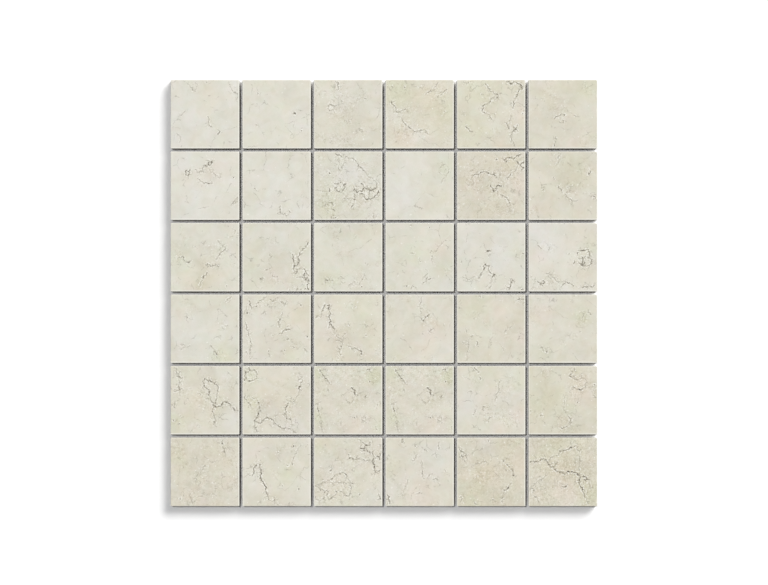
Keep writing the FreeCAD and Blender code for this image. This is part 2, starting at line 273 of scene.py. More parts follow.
        (8, 8,6.5, 7,8.5, 6,11), (4, 6,11, 5.5,13.5, 5,15.5, 3,15, 2,16, 1,16.5),
        (3, 14,24.5, 14.5,27, 17,29.5, 19.5,31.5, 20.5,33), (4, 23,27, 21,27.5, 20.5,29.5),
        (4, 15.5,31.5, 18,32.5, 20,33), (5, 20,33.5, 19.5,36.5, 18,38.5, 17.5,40, 19,42),
        (6, 24,36, 26.5,37, 28,37.5, 31,38.5, 33,39.5, 33.5,41.5), (9, 33,39.5), (9, 33.5,41.5),
        (3, 17,44.5), (6, 14,47.5), (6, 30,47, 31,47.5), (4, 29,8.5), (4, 25,21.5), (3, 36.5,28.5),
        (5, 46.5,47)],
    "tile_r4_c4": [(3, 26,0.5, 25.5,3, 24.5,6.5, 24.5,10.5, 25,14.5, 25.5,17),
        (5, 25,16, 26.5,18.5, 27.5,18), (6, 31.5,13, 30,14.5, 28,16.5, 27,18.5),
        (4, 30,24, 31,26, 32.5,24.5), (6, 46.5,15, 47.5,15.5), (3, 6,43.5, 5.5,46)],
    "tile_r4_c5": [(9, 42.5,3.5, 45,3.5, 47.5,3.5), (5, 16.5,1.5), (5, 6,23.5, 6.5,25, 7,26),
        (6, 9.5,29, 11,30, 11.5,29), (5, 8,31.5, 8,34, 8.5,37.5, 8,40.5), (3, 4,33, 5.5,34.5),
        (6, 14,32.5, 14.5,34.5, 13.5,35), (3, 6.5,41.5, 8,43.5, 6.5,45.5, 7.5,46.5),
        (3, 33.5,26.5, 35.5,23.5, 38.5,22.5), (3, 29.5,34.5, 31.5,36, 32.5,39)],
    "tile_r4_c6": [(4, 36,13.5, 37.5,12.5, 38.5,15.5, 37,17.5), (3, 41.5,10.5, 43,12.5, 43.5,14.5),
        (4, 8,37.5, 9.5,37, 10,39), (4, 12,38, 12.5,40.5, 13.5,37), (4, 1,9, 2,10), (3, 35.5,26.5, 37,26)],
    "tile_r5_c1": [(6, 2.5,1, 4,3.5, 5.5,6.5, 6,7.5, 7,8.5, 8.5,8), (9, 5,6.6, 6,7.4),
        (6, 5.8,10, 6,12.5, 5.8,15.5), (6, 2.2,16.5, 4.5,17, 7.3,15.8), (4, 12.5,16, 14.5,15.5),
        (4, 3,24, 2.5,27, 3,30),
        (6, 22.5,10, 23,12, 24,14.5, 26,16.5, 27.5,17.5, 27,19.5, 27.5,21.5, 27.5,23.5), (8, 27,18), (6,
        22.5,10, 24.5,9.5, 27.5,10.5, 30,12, 32,13, 33,14.5, 33,16.5, 32.5,19, 32.5,21, 32,23.5, 31.5,25.5,
        31,27), (4, 18,18.5, 20.5,20), (4, 23.5,22, 25.5,23, 27,24),
        (8, 27.5,23.5, 29,25, 29.5,27, 31,28, 33,28, 35,28, 36,26.5, 37,25, 39,25, 40.5,26, 42,27),
        (6, 31,28, 30,29.5, 29.5,32, 30.5,34.5, 31,37, 31,40), (5, 40.5,26, 39.5,24),
        (5, 42,27, 43.5,29, 45.5,30.5, 48,32), (6, 7.5,34.5, 6.5,35), (8, 6,40, 6.5,41), (5, 2,38)],
    "tile_r5_c2": [(6, 6.5,3.5, 9,3.5, 10.5,5.5, 10,8, 8,10, 5.5,10.5, 3,10, 1.5,9),
        (8, 1.5,3, 2.5,5, 1.5,7, 2.5,8.5, 2,10), (6, 2,3, 4,4, 6.5,3.5, 5,1.5, 3.5,1), (3, 36,1),
        (4, 38.5,7.5, 40.5,9, 42.5,7), (6, 42,10, 41,12, 41,14, 39.5,15.5, 41,17), (7, 40,14.5),
        (3, 41,17, 39.5,20, 38,21.5, 37,23.5),
        (6, 37,24, 35,25, 33,24.5, 32.5,26, 31.5,28, 30.5,30, 30.5,32, 30,34.5),
        (5, 30,34.5, 31,36.5, 32.5,37.5, 34.5,38, 33.5,36.5), (3, 34.5,38.5, 34.5,42, 36,45),
        (5, 0.5,21.5, 2.5,23.5, 4,25.5, 5.5,27.5, 6.5,28.5, 7,30),
        (5, 7,22, 10,23.5, 11.5,25.5, 12,28, 12.5,30, 12,32), (8, 12,32, 11.5,34, 10.5,35.5, 9,37.5),
        (7, 8.5,37.5, 10.5,39, 12.5,39.5, 14,38.5, 15.5,37, 17,36, 18.5,36.5, 19.5,36.5),
        (6, 9,39, 9,41.5, 9.5,44, 10,46), (3, 19.5,35.5, 22,35, 24.5,34.5),
        (6, 19.5,36.5, 21.5,38, 23,40, 26,42, 28,43, 31,44, 33.5,44.5, 36,45.5, 38.5,47), (6, 47,13.5)],
    "tile_r5_c3": [(6, 4,2, 5,4.5, 6.5,6.5, 8.5,8, 10,10, 10.5,12.5), (3, 10.5,12.5, 10,15, 10.5,18.5),
        (9, 26.3,15.4, 27.4,16.4, 28.2,17.6, 28.5,20.2), (9, 26.7,15.5, 28.6,17.9, 28.8,20),
        (9, 39,0.5, 39.5,2, 38,2.5), (4, 39,11), (3, 22.5,21, 23,24, 25,26, 27,25.5, 28,23),
        (5, 2,26, 4,26.5), (7, 2.5,29, 3,31.5), (4, 3,32, 4,34, 5,37, 5.5,40, 5,42.5, 6,46),
        (4, 33.5,35.5, 35.5,35, 37,36.5, 35.5,38, 33.5,37.5), (6, 28.5,36), (5, 36.5,20.5, 36,23, 37.5,22),
        (4, 44.5,27), (5, 43.5,42, 44.5,44.5)],
    "tile_r5_c5": [(6, 12,1, 14,3, 15.5,4.5), (6, 15,7.5, 16.5,8.5, 16.5,9.5),
        (4, 31.5,9.5, 30,11.5, 29.5,14, 29.5,16.5, 28.5,19, 27.5,22, 27,24),
        (3, 7.5,18.5, 9.5,17.5, 11,19.5), (4, 22,29, 19.5,28.5, 18,29.5, 19,31.5),
        (6, 24.5,35.5, 23,36.5, 22,37.5), (4, 13.5,30, 12,33.5, 11.5,34.5), (3, 30.5,34.5, 32,36)],
    "tile_r5_c6": [(5, 32.5,1, 31.5,3, 30.5,5, 29,6, 29.5,7.5, 32,9, 34.5,9.5, 37.5,8.5, 39.5,8.5, 41,10.5,
        41.5,13, 39,15.5), (5, 39,15.5, 36,16.5, 32.5,15.5, 31,13.5), (7, 36,16.5), (6, 32,7),
        (3, 27.5,13.5, 30,13), (5, 46.5,13), (5, 46,20.5),
        (3, 25.5,20.5, 25.5,24, 25,28, 25.5,31.5, 27.5,34), (6, 27.5,34, 29.5,36.5, 30,40),
        (5, 8,34.5, 10.5,34.5), (3, 10.5,29.5, 10,31.5), (5, 22,42.5, 24.5,43.5, 27,42.5), (4, 34.5,25.5),
        (4, 1.5,31.5)],
    "tile_r6_c1": [(4, 36.5,0.5, 36,3.5, 36.5,6.5, 38,8.5, 37.5,10.5, 38,12.5), (7, 36,4),
        (3, 25.5,18, 29,17, 32.5,16.5), (4, 25,19, 22.5,21.5, 21.5,23.5, 20.5,24.5),
        (3, 16,28, 18,29.5, 19.5,31.5), (3, 30.5,33.5, 31,38, 28.5,40.5), (5, 6.5,43), (3, 13,44.5, 13,47),
        (3, 15.5,45.5, 19,41.5, 22,40.5)],
    "tile_r6_c2": [(9, 11.5,18.5, 13,18.5, 12,20, 13,22, 13.5,24.5, 13,26.5, 13.5,29, 14,31, 15.5,33,
        16.5,35, 16,36.5), (7, 10,18, 9,20, 8,22, 8.5,23.5, 7.5,26.5),
        (3, 7.5,26.5, 5.5,26.5, 4,25, 2.5,27.5, 1,28),
        (5, 16,36.5, 17,39, 18.5,42.5, 20.5,44, 22.5,43, 22,41.5), (5, 22.5,43, 24,46, 27,48), (7, 36,6),
        (5, 25,10.5), (3, 41,4.5, 40,6.5, 37.5,11, 35.5,14.5, 35,19), (5, 35,18.5), (4, 31.5,19.5),
        (3, 44.5,7.5, 45.5,4.5), (5, 39.5,36), (3, 28,33.5)],
    "tile_r6_c3": [(5, 31.5,1, 33.5,2.5, 35,4.5, 37,5, 39,3.5),
        (7, 33,5.5, 32.5,7, 34,8, 36,7.5, 35.5,6, 38,5.5, 39.5,4.5, 39,3),
        (6, 33,9.5, 35,9.5, 37,8.5, 39,10.5), (6, 42,8.5, 41,11, 42,13, 41,15.5, 41.5,17.5),
        (6, 24,15, 27,15, 30,15, 33.5,15.5, 36.5,16, 41,16.5), (4, 25,14), (4, 24.5,12),
        (8, 41.5,17.5, 42,19.5, 42.5,22, 42.5,24, 42,25), (5, 42,25, 44,23.5, 46,23, 48,23),
        (8, 48,8.5, 47,11, 46,13.5, 44,13, 46.5,14.5, 45.5,16, 48,14.5), (5, 14,22, 12.5,22.5, 11.5,23.5),
        (5, 2,32.5, 5,32, 8.5,30.5, 12,28.5, 15.5,26.5, 18.5,25, 21.5,24.5),
        (5, 21.5,24.5, 22.5,26.5, 24,28.5, 26,31.5, 26.5,32.5), (3, 2,32.5, 4,33.5, 6.5,32.5, 8.5,31.5),
        (5, 8.5,31.5, 16,31.5, 24,31.5, 26.5,32.5), (5, 26.5,32.5, 29.2,32.2),
        (5, 26,33, 26,36, 25.5,39, 25,41, 22.5,40.5, 20.5,38.5, 19,37.5),
        (6, 1,33.5, 3,35, 5.5,36.5, 7,38, 9,37.5, 10,38.5, 9,40.5, 11,43),
        (5, 11,43, 13,41.5, 15.5,40, 17,38.5, 16,37.5), (6, 0.5,41, 1.5,43, 5,43.5, 8,42.5),
        (7, 19,37.5, 20,38), (7, 45,39, 46,41, 47,43), (3, 42,34.5, 43.5,36, 42,36.5), (3, 32,40)],
    "tile_r6_c4": [(8, 13,2, 11.5,3.5, 11.5,2, 12.5,1), (5, 21,6), (7, 26.5,8.5, 28,8, 29,9.5),
        (5, 22.5,12, 21,15, 19.5,16), (4, 37.5,2.5, 37.5,6.5, 37,8.5), (4, 35.5,9.5, 36,13.5, 36.5,14),
        (4, 25.5,15.5, 25.5,20.5, 26,26.5, 27.5,29.5), (6, 30,27, 31.5,26, 33,24.5),
        (6, 33,29.5, 35,28.5, 36,29), (4, 36,31.5, 38,32.5), (5, 41,22.5, 42,23.5),
        (3, 16,29.5, 15,33.5, 12.5,37.5, 12,42.5), (5, 21,40, 24,38.5, 25.5,39.5),
        (9, 1.5,40, 2.5,41.5, 2,43, 3,44.5, 3.5,47.5)],
    "tile_r6_c5": [(7, 2,7.5, 3,9.5, 5,10.5, 6.5,11.5, 6.5,12.5, 4.5,13.5, 3.5,12.5),
        (4, 4,14, 5.5,16.5, 7.5,19), (3, 10,3.5, 11,2.5), (5, 22,2.5),
        (4, 13,19, 16.5,18, 18.5,17, 21,17.5), (5, 31.5,15, 33,16, 32.5,17), (7, 34.5,18.5, 36,20, 37,21),
        (4, 37,21, 39,23.5, 39.5,26.5), (7, 39.5,26.5), (9, 36,34.5, 34.5,36, 33.5,37),
        (8, 36.2,34.8, 34.9,36), (3, 38.5,31.5, 36.5,34), (4, 33,37.5, 32.5,41.5, 31,44.5),
        (5, 2,45, 3.5,43.5, 3,41.5), (7, 12.5,45, 13,46), (3, 12,27.5, 11.5,29), (5, 25,43, 26,44)],
    "tile_r6_c6": [(7, 33.5,6, 32,6.5, 30,7, 28.5,8, 26,8.5, 23.5,9, 21.5,10.5, 21,12.5), (9, 30,7),
        (4, 30.5,7, 30.5,4.5, 29.5,2.5), (4, 33.5,6, 34.5,8.5, 36,10.5),
        (4, 35.5,13.5, 36,16, 36,18.5, 35.5,21.5, 36,24.5, 36,27),
        (7, 0.5,17, 3,16.5, 6,17, 9,15, 11,15.5, 13,16, 14.5,18.5, 16,20, 17.5,21), (9, 11,15.5, 12,15.5),
        (4, 15.5,17.5, 15,16, 16,14, 18.5,13, 21,12.5), (8, 17.5,21, 20,23.5, 22.5,24.5, 25,25),
        (5, 18,20, 20,18.5, 21,17),
        (9, 25,25, 27.5,24, 30,24, 32.5,24.5, 35,25.5, 36.5,27, 38.5,28, 40.5,28, 42,29.5),
        (9, 36,27.5, 36,29.5, 35.5,32, 37,34.5, 38,37, 39,39.5, 40,41.5), (4, 42,29.5, 43,32.5, 43.5,35.5),
        (5, 38,31.5, 39.5,29.5, 41,30), (4, 40,41.5, 41.5,44.5, 42.5,46.5),
        (9, 25.5,34.4, 26.5,34.4, 26.5,34.7, 25.5,34.7, 25.5,35, 26.5,35),
        (4, 12.5,26.5, 9.5,29, 6,31.5, 2,35, 0.5,37.5), (5, 2,35, 4,36, 3.5,38.5),
        (4, 4,40.5, 6,43, 8,46.5), (3, 22.5,25.5, 20,28.5, 20.5,32.5)],
}

# What a patch of each kind adds: warmth from blue grey (-1) to tan (1), blush from green (-1) to pink (1),
# lightness from -1 to 1, and crackle from calm stone (-1) to finely crackled stone (1)
OLIVE = (0.9, -1.0, -0.3, 0.1)
TAN = (0.9, 0.6, -0.3, 0.1)
PINK = (0.2, 1.4, 0.0, 0.0)
COOL = (-1.0, 0.0, 0.2, -0.3)
DUSK = (0.2, 0.0, -1.0, 0.2)
PALE = (-0.3, 0.0, 1.0, 0.0)
CRACKLED = (0.0, 0.0, 0.0, 1.0)

# Soft patches of the print: the kind, then x, y and radius in millimetres, and the strength
PATCHES = {
    "tile_r1_c1": [(COOL, 5, 38, 13, 0.4), (TAN, 26, 12, 10, 0.4)],
    "tile_r1_c3": [(DUSK, 24, 26, 12, 0.3), (CRACKLED, 20, 27, 11, 0.6)],
    "tile_r1_c4": [(OLIVE, 8, 8, 10, 0.9), (TAN, 30, 14, 12, 0.7), (OLIVE, 44, 24, 8, 0.7),
        (PALE, 9, 28, 6, 0.9), (PALE, 22, 39, 5, 0.9), (PINK, 14, 43, 8, 1.0),
        (DUSK, 12, 39, 7, 0.6)],
    "tile_r1_c5": [(OLIVE, 16, 6, 12, 0.5), (OLIVE, 12, 36, 14, 0.4), (PINK, 46, 24, 6, 1.1),
        (PINK, 30, 46, 6, 0.7)],
    "tile_r1_c6": [(TAN, 20, 8, 12, 0.4), (OLIVE, 42, 6, 7, 0.8), (PINK, 34, 46, 7, 0.7)],
    "tile_r2_c1": [(COOL, 10, 40, 14, 0.3), (PINK, 34, 14, 10, 0.5), (DUSK, 30, 12, 6, 0.5)],
    "tile_r2_c2": [(COOL, 40, 44, 9, 0.4)],
    "tile_r2_c3": [(COOL, 26, 16, 10, 0.4), (OLIVE, 10, 38, 8, 0.6), (DUSK, 10, 38, 8, 0.6),
        (DUSK, 34, 28, 8, 0.5), (COOL, 42, 42, 8, 0.3), (CRACKLED, 16, 28, 11, 0.5)],
    "tile_r2_c4": [(COOL, 8, 34, 18, 0.6), (OLIVE, 42, 12, 7, 1.0), (TAN, 34, 38, 10, 0.4)],
    "tile_r2_c5": [(DUSK, 10, 20, 10, 0.5), (PINK, 10, 22, 10, 0.4), (DUSK, 26, 24, 10, 0.4),
        (TAN, 38, 8, 7, 1.0), (PINK, 45, 22, 6, 1.1)],
    "tile_r2_c6": [(OLIVE, 30, 10, 12, 0.3), (DUSK, 24, 27, 12, 0.3), (PINK, 8, 38, 8, 0.4)],
    "tile_r3_c1": [(TAN, 22, 38, 13, 0.7), (DUSK, 24, 36, 10, 0.3), (OLIVE, 6, 27, 8, 0.7)],
    "tile_r3_c2": [(COOL, 20, 10, 16, 0.2), (OLIVE, 6, 34, 8, 0.5), (PINK, 24, 38, 7, 0.6)],
    "tile_r3_c3": [(OLIVE, 12, 40, 8, 0.6), (TAN, 38, 8, 8, 0.4)],
    "tile_r3_c4": [(OLIVE, 20, 22, 7, 0.7), (PINK, 37, 17, 8, 0.7), (DUSK, 37, 17, 5, 0.4),
        (OLIVE, 42, 31, 7, 0.5), (COOL, 42, 43, 7, 0.9)],
    "tile_r3_c5": [(COOL, 36, 10, 14, 0.4), (OLIVE, 43, 22, 6, 0.5)],
    "tile_r3_c6": [(COOL, 12, 8, 14, 0.7), (PINK, 8, 24, 6, 0.6), (TAN, 36, 8, 10, 0.6),
        (OLIVE, 45, 18, 6, 0.6), (DUSK, 16, 42, 9, 0.6), (TAN, 40, 37, 8, 0.5),
        (CRACKLED, 16, 40, 9, 0.5)],
    "tile_r4_c1": [(COOL, 16, 30, 16, 0.3), (OLIVE, 36, 42, 9, 0.8), (PINK, 10, 14, 6, 0.4)],
    "tile_r4_c2": [(COOL, 15, 30, 13, 0.4), (TAN, 40, 14, 10, 0.6), (OLIVE, 35, 41, 8, 0.3)],
    "tile_r4_c3": [(PINK, 10, 30, 12, 0.4), (OLIVE, 32, 12, 9, 0.6), (DUSK, 17, 33, 6, 0.5)],
    "tile_r4_c4": [(PINK, 34, 26, 8, 0.6), (PINK, 24, 40, 10, 0.4), (OLIVE, 6, 42, 6, 0.5)],
    "tile_r4_c5": [(OLIVE, 18, 8, 13, 0.5), (PINK, 30, 13, 8, 0.8), (PINK, 46, 30, 6, 0.9),
        (DUSK, 8, 38, 8, 0.5), (DUSK, 34, 34, 9, 0.3)],
    "tile_r4_c6": [(PINK, 8, 14, 10, 0.5), (OLIVE, 38, 15, 6, 1.0), (DUSK, 38, 15, 5, 0.4),
        (OLIVE, 12, 40, 7, 0.7)],
    "tile_r5_c1": [(OLIVE, 4, 38, 8, 0.7), (TAN, 14, 26, 12, 0.5), (COOL, 44, 37, 8, 0.5),
        (OLIVE, 8, 4, 7, 0.4)],
    "tile_r5_c2": [(OLIVE, 6, 8, 7, 0.6), (OLIVE, 7, 26, 7, 0.7), (TAN, 26, 16, 12, 0.4),
        (PINK, 20, 20, 9, 0.4), (COOL, 36, 40, 8, 0.3)],
    "tile_r5_c3": [(OLIVE, 43, 7, 6, 1.6), (OLIVE, 3, 4, 6, 0.9), (PINK, 30, 42, 8, 0.7),
        (OLIVE, 2, 37, 6, 0.8), (OLIVE, 45, 43, 4, 0.9), (DUSK, 36, 18, 7, 0.5)],
    "tile_r5_c5": [(OLIVE, 20, 4, 11, 0.5), (COOL, 8, 27, 9, 0.8), (PINK, 24, 20, 9, 0.4),
        (PINK, 46, 34, 6, 1.0), (PINK, 30, 46, 6, 0.8), (OLIVE, 44, 10, 7, 0.4)],
    "tile_r5_c6": [(OLIVE, 12, 24, 16, 0.5), (PINK, 38, 18, 9, 0.7), (TAN, 34, 9, 6, 0.5),
        (DUSK, 26, 40, 8, 0.5), (DUSK, 12, 30, 12, 0.3)],
    "tile_r6_c1": [(DUSK, 24, 26, 16, 0.4), (OLIVE, 4, 14, 7, 0.4), (PINK, 22, 42, 9, 0.3)],
    "tile_r6_c2": [(OLIVE, 32, 27, 8, 0.7), (PINK, 10, 8, 8, 0.4), (TAN, 24, 44, 9, 0.3)],
    "tile_r6_c3": [(DUSK, 16, 8, 12, 0.4), (PINK, 14, 30, 10, 0.4), (OLIVE, 2, 7, 6, 0.8),
        (COOL, 45, 40, 7, 0.7), (OLIVE, 24, 45, 8, 0.4), (CRACKLED, 16, 32, 11, 0.5)],
    "tile_r6_c4": [(COOL, 34, 12, 13, 0.5), (PINK, 24, 41, 10, 0.8), (OLIVE, 3, 20, 7, 0.6)],
    "tile_r6_c5": [(TAN, 20, 26, 11, 0.9), (OLIVE, 10, 43, 10, 0.6), (PINK, 45, 20, 7, 0.9),
        (COOL, 20, 5, 9, 0.6), (DUSK, 30, 38, 9, 0.3)],
    "tile_r6_c6": [(OLIVE, 20, 6, 12, 0.5), (TAN, 22, 22, 9, 0.8), (PINK, 26, 38, 9, 0.7),
        (PALE, 28, 42, 8, 0.5), (OLIVE, 44, 40, 8, 1.0), (DUSK, 37, 24, 9, 0.5)],
}

# Tiles that differ as a whole: warmth, blush, lightness and crackle, and the tiles
SHADES = [
    ((0.35, 0.1, -0.6, 0.7), ["tile_r6_c6"]),
    ((0.35, 0.1, -0.6, 0.3), ["tile_r6_c5"]),
    ((0.3, 0.0, -0.4, 0.0), ["tile_r5_c6"]),
    ((0.4, 0.0, -0.1, 0.3), ["tile_r1_c4"]),
    ((0.35, 0.0, -0.1, 0.0), ["tile_r1_c5"]),
    ((0.15, 0.1, -0.4, 0.3), ["tile_r6_c1", "tile_r2_c5"]),
    ((0.1, 0.0, -0.2, -0.2), ["tile_r4_c5", "tile_r2_c6", "tile_r1_c6"]),
    ((0.15, 0.0, -0.2, 0.0), ["tile_r4_c3"]),
    ((0.0, 0.0, -0.15, 0.0), ["tile_r5_c1", "tile_r5_c2"]),
    ((0.0, 0.0, -0.15, 0.25), ["tile_r5_c3", "tile_r5_c4", "tile_r6_c3"]),
    ((-0.15, -0.2, 0.05, 0.3), ["tile_r2_c3"]),
    ((-0.15, -0.2, 0.05, -0.3), ["tile_r3_c1", "tile_r3_c2", "tile_r3_c3", "tile_r3_c4", "tile_r4_c1"]),
    ((0.0, 0.0, 0.0, -0.3), ["tile_r4_c2", "tile_r4_c4", "tile_r4_c6", "tile_r6_c2", "tile_r6_c4"]),
    ((-0.3, -0.1, 0.35, -0.7), ["tile_r1_c1", "tile_r2_c1", "tile_r2_c2", "tile_r3_c5"]),
    ((-0.3, 0.0, 0.35, -0.2), ["tile_r3_c6"]),
    ((-0.1, -0.1, 0.35, -0.7), ["tile_r1_c2", "tile_r2_c4"]),
]

# Tiles that carry the same piece of the print as another tile: that tile, and how far the print sits to the
# right of where it sits there, in millimetres
PRINTS = {"tile_r5_c4": ("tile_r5_c3", 3.0)}


def linear(level):
    """A screen colour level from 0 to 255 as a linear amount of light, by the sRGB curve."""
    share = level / 255
    return share / 12.92 if share <= 0.04045 else ((share + 0.055) / 1.055) ** 2.4


def paint(red, green, blue):
    """The surface colour that shows as the given screen colour under the studio's lights."""
    return (*(linear(level) / PAINT_EXPOSURE for level in (red, green, blue)), 1.0)


STONE_DEEP = paint(195, 188, 168)
STONE_DUSK = paint(210, 205, 188)
STONE_CREAM = paint(219, 215, 200)
STONE_PALE = paint(232, 230, 219)
STONE_TONES = ((0.28, STONE_DUSK), (0.52, STONE_CREAM))
VEIN_BROWN = paint(96, 88, 72)
# The cream of the print's flecks and pale dots, and also of the painted highlight in the pale rim along the
# joints
FLECK_AND_HIGHLIGHT_CREAM = paint(241, 239, 230)
BODY_IVORY = paint(213, 207, 194)
BODY_GREY = paint(196, 191, 180)
YARN_WHITE = (0.9, 0.9, 0.91, 1.0)
YARN_GREY = (0.8, 0.8, 0.82, 1.0)

# The ends of the two ways that the stone's colour leans
COOL_FILTER = (0.99, 1.0, 1.07, 1.0)
WARM_FILTER = (1.01, 1.0, 0.93, 1.0)
GREEN_FILTER = (0.962, 1.01, 0.985, 1.0)
PINK_FILTER = (1.038, 0.99, 1.015, 1.0)

# Noises: features per millimetre in the print and per metre elsewhere, octaves, roughness and distortion.
# The last two are 0.5 and 0 where they aren't given.
NOISES = {
    "clouds": (0.045, 3.0, 0.5, 0.6),
    "drift": (0.12, 4.0, 0.55, 1.0),
    "mottle": (0.5, 4.0, 0.6, 0.5),
    "grain": (1.3, 3.0, 0.6),
    "warmth": (0.07, 4.0, 0.55, 0.8),
    "blush": (0.13, 4.0, 0.55, 0.8),
    "busy_places": (0.075, 3.0),
    "hairline_places": (0.16, 3.0),
    "crack_places": (0.55, 3.0),
    "vein_edge": (1.9, 3.0, 0.6),
    "vein_width": (0.8, 2.0),
    "vein_beads": (1.05, 3.0, 0.6),
    "fleck_places": (1.25, 2.0),
    "body_streaks": (300.0, 4.0, 0.6),
    "body_grain": (2600.0, 4.0, 0.6),
    "filaments": (5200.0, 3.0, 0.7),
    "yarn_patches": (260.0, 3.0, 0.6),
    "paper": (40.0, 3.0),
}

# How a noise or a distance becomes a share: the values where it starts and ends, and the shares there, which
# are 0 and 1 where they aren't given
SHARES = {
    "busy_places": (0.48, 0.7),
    "beside_vein": (4.5, 0.5),
    "hairline": (0.02, 0.0),
    "hairline_places": (0.5, 0.64, 0.0, 0.42),
    "crack": (0.075, 0.0),
    "crack_places": (0.5, 0.62),
    "vein_shade": (2.2, 0.2, 0.0, 0.35),
    "vein_width": (0.4, 0.62, 0.24, 0.6),
    "fleck_reach": (1.5, 0.75),
    "fleck_clear": (0.2, 0.5),
    "fleck_places": (0.5, 0.58),
    "rim": (1.1, 0.35, 0.0, 0.75),
    "glaze_roughness": (0.3, 0.7, 0.46, 0.62),
    "body_streaks": (0.35, 0.7),
    "body_grain": (0.58, 0.72, 0.0, 0.35),
    "body_roughness": (0.3, 0.7, 0.75, 0.92),
    "filaments": (0.38, 0.66),
    "yarn_patches": (0.5, 0.75, 0.0, 0.3),
    "yarn_roughness": (0.3, 0.7, 0.35, 0.6),
}
BEAD_SPAN = (0.42, 0.57)
BEAD_DARKEST = 1.5

# The print's warps as waves per millimetre and reach, its cells per millimetre, and its dots as cells per
# millimetre and radius in cells, with the strength of the marks
WIDE_WARPS = ((0.13, 7.0), (0.9, 1.6))
TIGHT_WARP = (0.6, 2.6)
HAIRLINE_CELLS = 0.075
CRACK_CELLS = 0.3
CRACK_INK = 0.75
PALE_DOTS = (0.42, 0.26)
PALE_DOT_STRENGTH = 0.75
DARK_DOTS = (0.31, 0.15)
DARK_DOT_INK = 0.32
DOT_CORE = 0.4

# Depths of the reliefs, in metres
GLAZE_RELIEF = 0.00003
BODY_RELIEF = 0.00006
YARN_RELIEF = 0.00005


def add_object(name, data, materials=()):
    """Puts a mesh, a lamp or a camera in the scene."""
    for material in materials:
        data.materials.append(material)
    thing = bpy.data.objects.new(name, data)
    bpy.context.scene.collection.objects.link(thing)
    return thing


# Node trees

def add_node(kind, inputs=None, tree=None, **settings):
    """A shader node with its settings. Each input is given by its name or number, as a value or as another
    node's output. Where no tree is given, the node goes in the tree of those outputs."""
    inputs = inputs or {}
    outputs = [value for value in inputs.values() if isinstance(value, bpy.types.NodeSocket)]
    tree = tree or outputs[0].id_data
    node = tree.nodes.new(kind)
    for name, value in settings.items():
        setattr(node, name, value)
    for socket, value in inputs.items():
        if isinstance(value, bpy.types.NodeSocket):
            tree.links.new(value, node.inputs[socket])
        else:
            node.inputs[socket].default_value = value
    return node


def noise_at(place, name):
    """One of the noises at a place, round a half."""
    inputs = dict(zip(("Scale", "Detail", "Roughness", "Distortion"), NOISES[name]), Vector=place)
    return add_node("ShaderNodeTexNoise", inputs).outputs["Fac"]


def calculate(operation, first, second=0.0, third=0.0, clamp=False):
    """A sum by one Math node."""
    inputs = {0: first, 1: second, 2: third}
    return add_node("ShaderNodeMath", inputs, operation=operation, use_clamp=clamp).outputs[0]


def scaled(value, factor, offset, clamp=False):
    """The value times a factor, with an offset added."""
    return calculate("MULTIPLY_ADD", value, factor, offset, clamp)


def spread(value, low, high, to_low=0.0, to_high=1.0):
    """Maps low to high smoothly onto another range, and holds it at its ends."""
    inputs = {"Value": value, "From Min": low, "From Max": high, "To Min": to_low, "To Max": to_high}
    return add_node("ShaderNodeMapRange", inputs, interpolation_type="SMOOTHSTEP").outputs["Result"]


def share_of(value, name):
    """A noise or a distance as one of the shares."""
    return spread(value, *SHARES[name])


def share_of_noise(place, name):
    """The share that bears the same name as a noise, at a place."""
    return share_of(noise_at(place, name), name)


def mix_colour(share, first, second, blend="MIX"):
    """The first colour with a share of the second."""
    inputs = {0: share, 6: first, 7: second}
    return add_node("ShaderNodeMix", inputs, data_type="RGBA", blend_type=blend).outputs[2]


def weighted_sum(terms, total=0.0):
    """A total with noises added to it, from pairs of a noise and its weight."""
    for value, weight in terms:
        centred = calculate("SUBTRACT", value, 0.5)
        total = scaled(centred, weight, total)
    return total


def product(first, *others):
    """Values multiplied together."""
    for other in others:
        first = calculate("MULTIPLY", first, other)
    return first


def warped(place, waves, reach):
    """The place, moved about by a noise, so that what is drawn there wanders."""
    inputs = {"Vector": place, "Scale": waves, "Detail": 3.0}
    shake = add_node("ShaderNodeTexNoise", inputs).outputs["Color"]
    inputs = {0: shake, 1: (reach, reach, reach), 2: place}
    return add_node("ShaderNodeVectorMath", inputs, operation="MULTIPLY_ADD").outputs[0]


def cell_edges(place, scale):
    """The distance to the nearest edge between cells, in cells."""
    inputs = {"Vector": place, "Scale": scale}
    return add_node("ShaderNodeTexVoronoi", inputs, feature="DISTANCE_TO_EDGE").outputs["Distance"]


def cell_dots(place, scale, radius, share):
    """Round dots, one at the middle of some cells: the share of the cells that have one."""
    cells = add_node("ShaderNodeTexVoronoi", {"Vector": place, "Scale": scale})
    dot = spread(cells.outputs["Distance"], radius, radius * DOT_CORE)
    draw = add_node("ShaderNodeSeparateColor", {"Color": cells.outputs["Color"]}).outputs["Red"]
    return product(dot, calculate("LESS_THAN", draw, share))


def attribute(tree, name, output="Fac"):
    """What the mesh carries under a name."""
    return add_node("ShaderNodeAttribute", tree=tree, attribute_name=name).outputs[output]


def new_material(name):
    """A material with an empty Principled shader. Returns the material, its tree and the shader."""
    material = bpy.data.materials.new(name)
    material.use_nodes = True
    tree = material.node_tree
    tree.nodes.clear()
    shader = add_node("ShaderNodeBsdfPrincipled", tree=tree)
    add_node("ShaderNodeOutputMaterial", {"Surface": shader.outputs[0]})
    return material, tree, shader


def finish_shader(tree, shader, colour, roughness, height, depth, strength):
    """Joins a colour, a roughness and a bump of some depth and strength to the shader."""
    bump = add_node("ShaderNodeBump", {"Height": height, "Distance": depth, "Strength": strength})
    tree.links.new(colour, shader.inputs["Base Color"])
    tree.links.new(roughness, shader.inputs["Roughness"])
    tree.links.new(bump.outputs[0], shader.inputs["Normal"])


# The printed stone

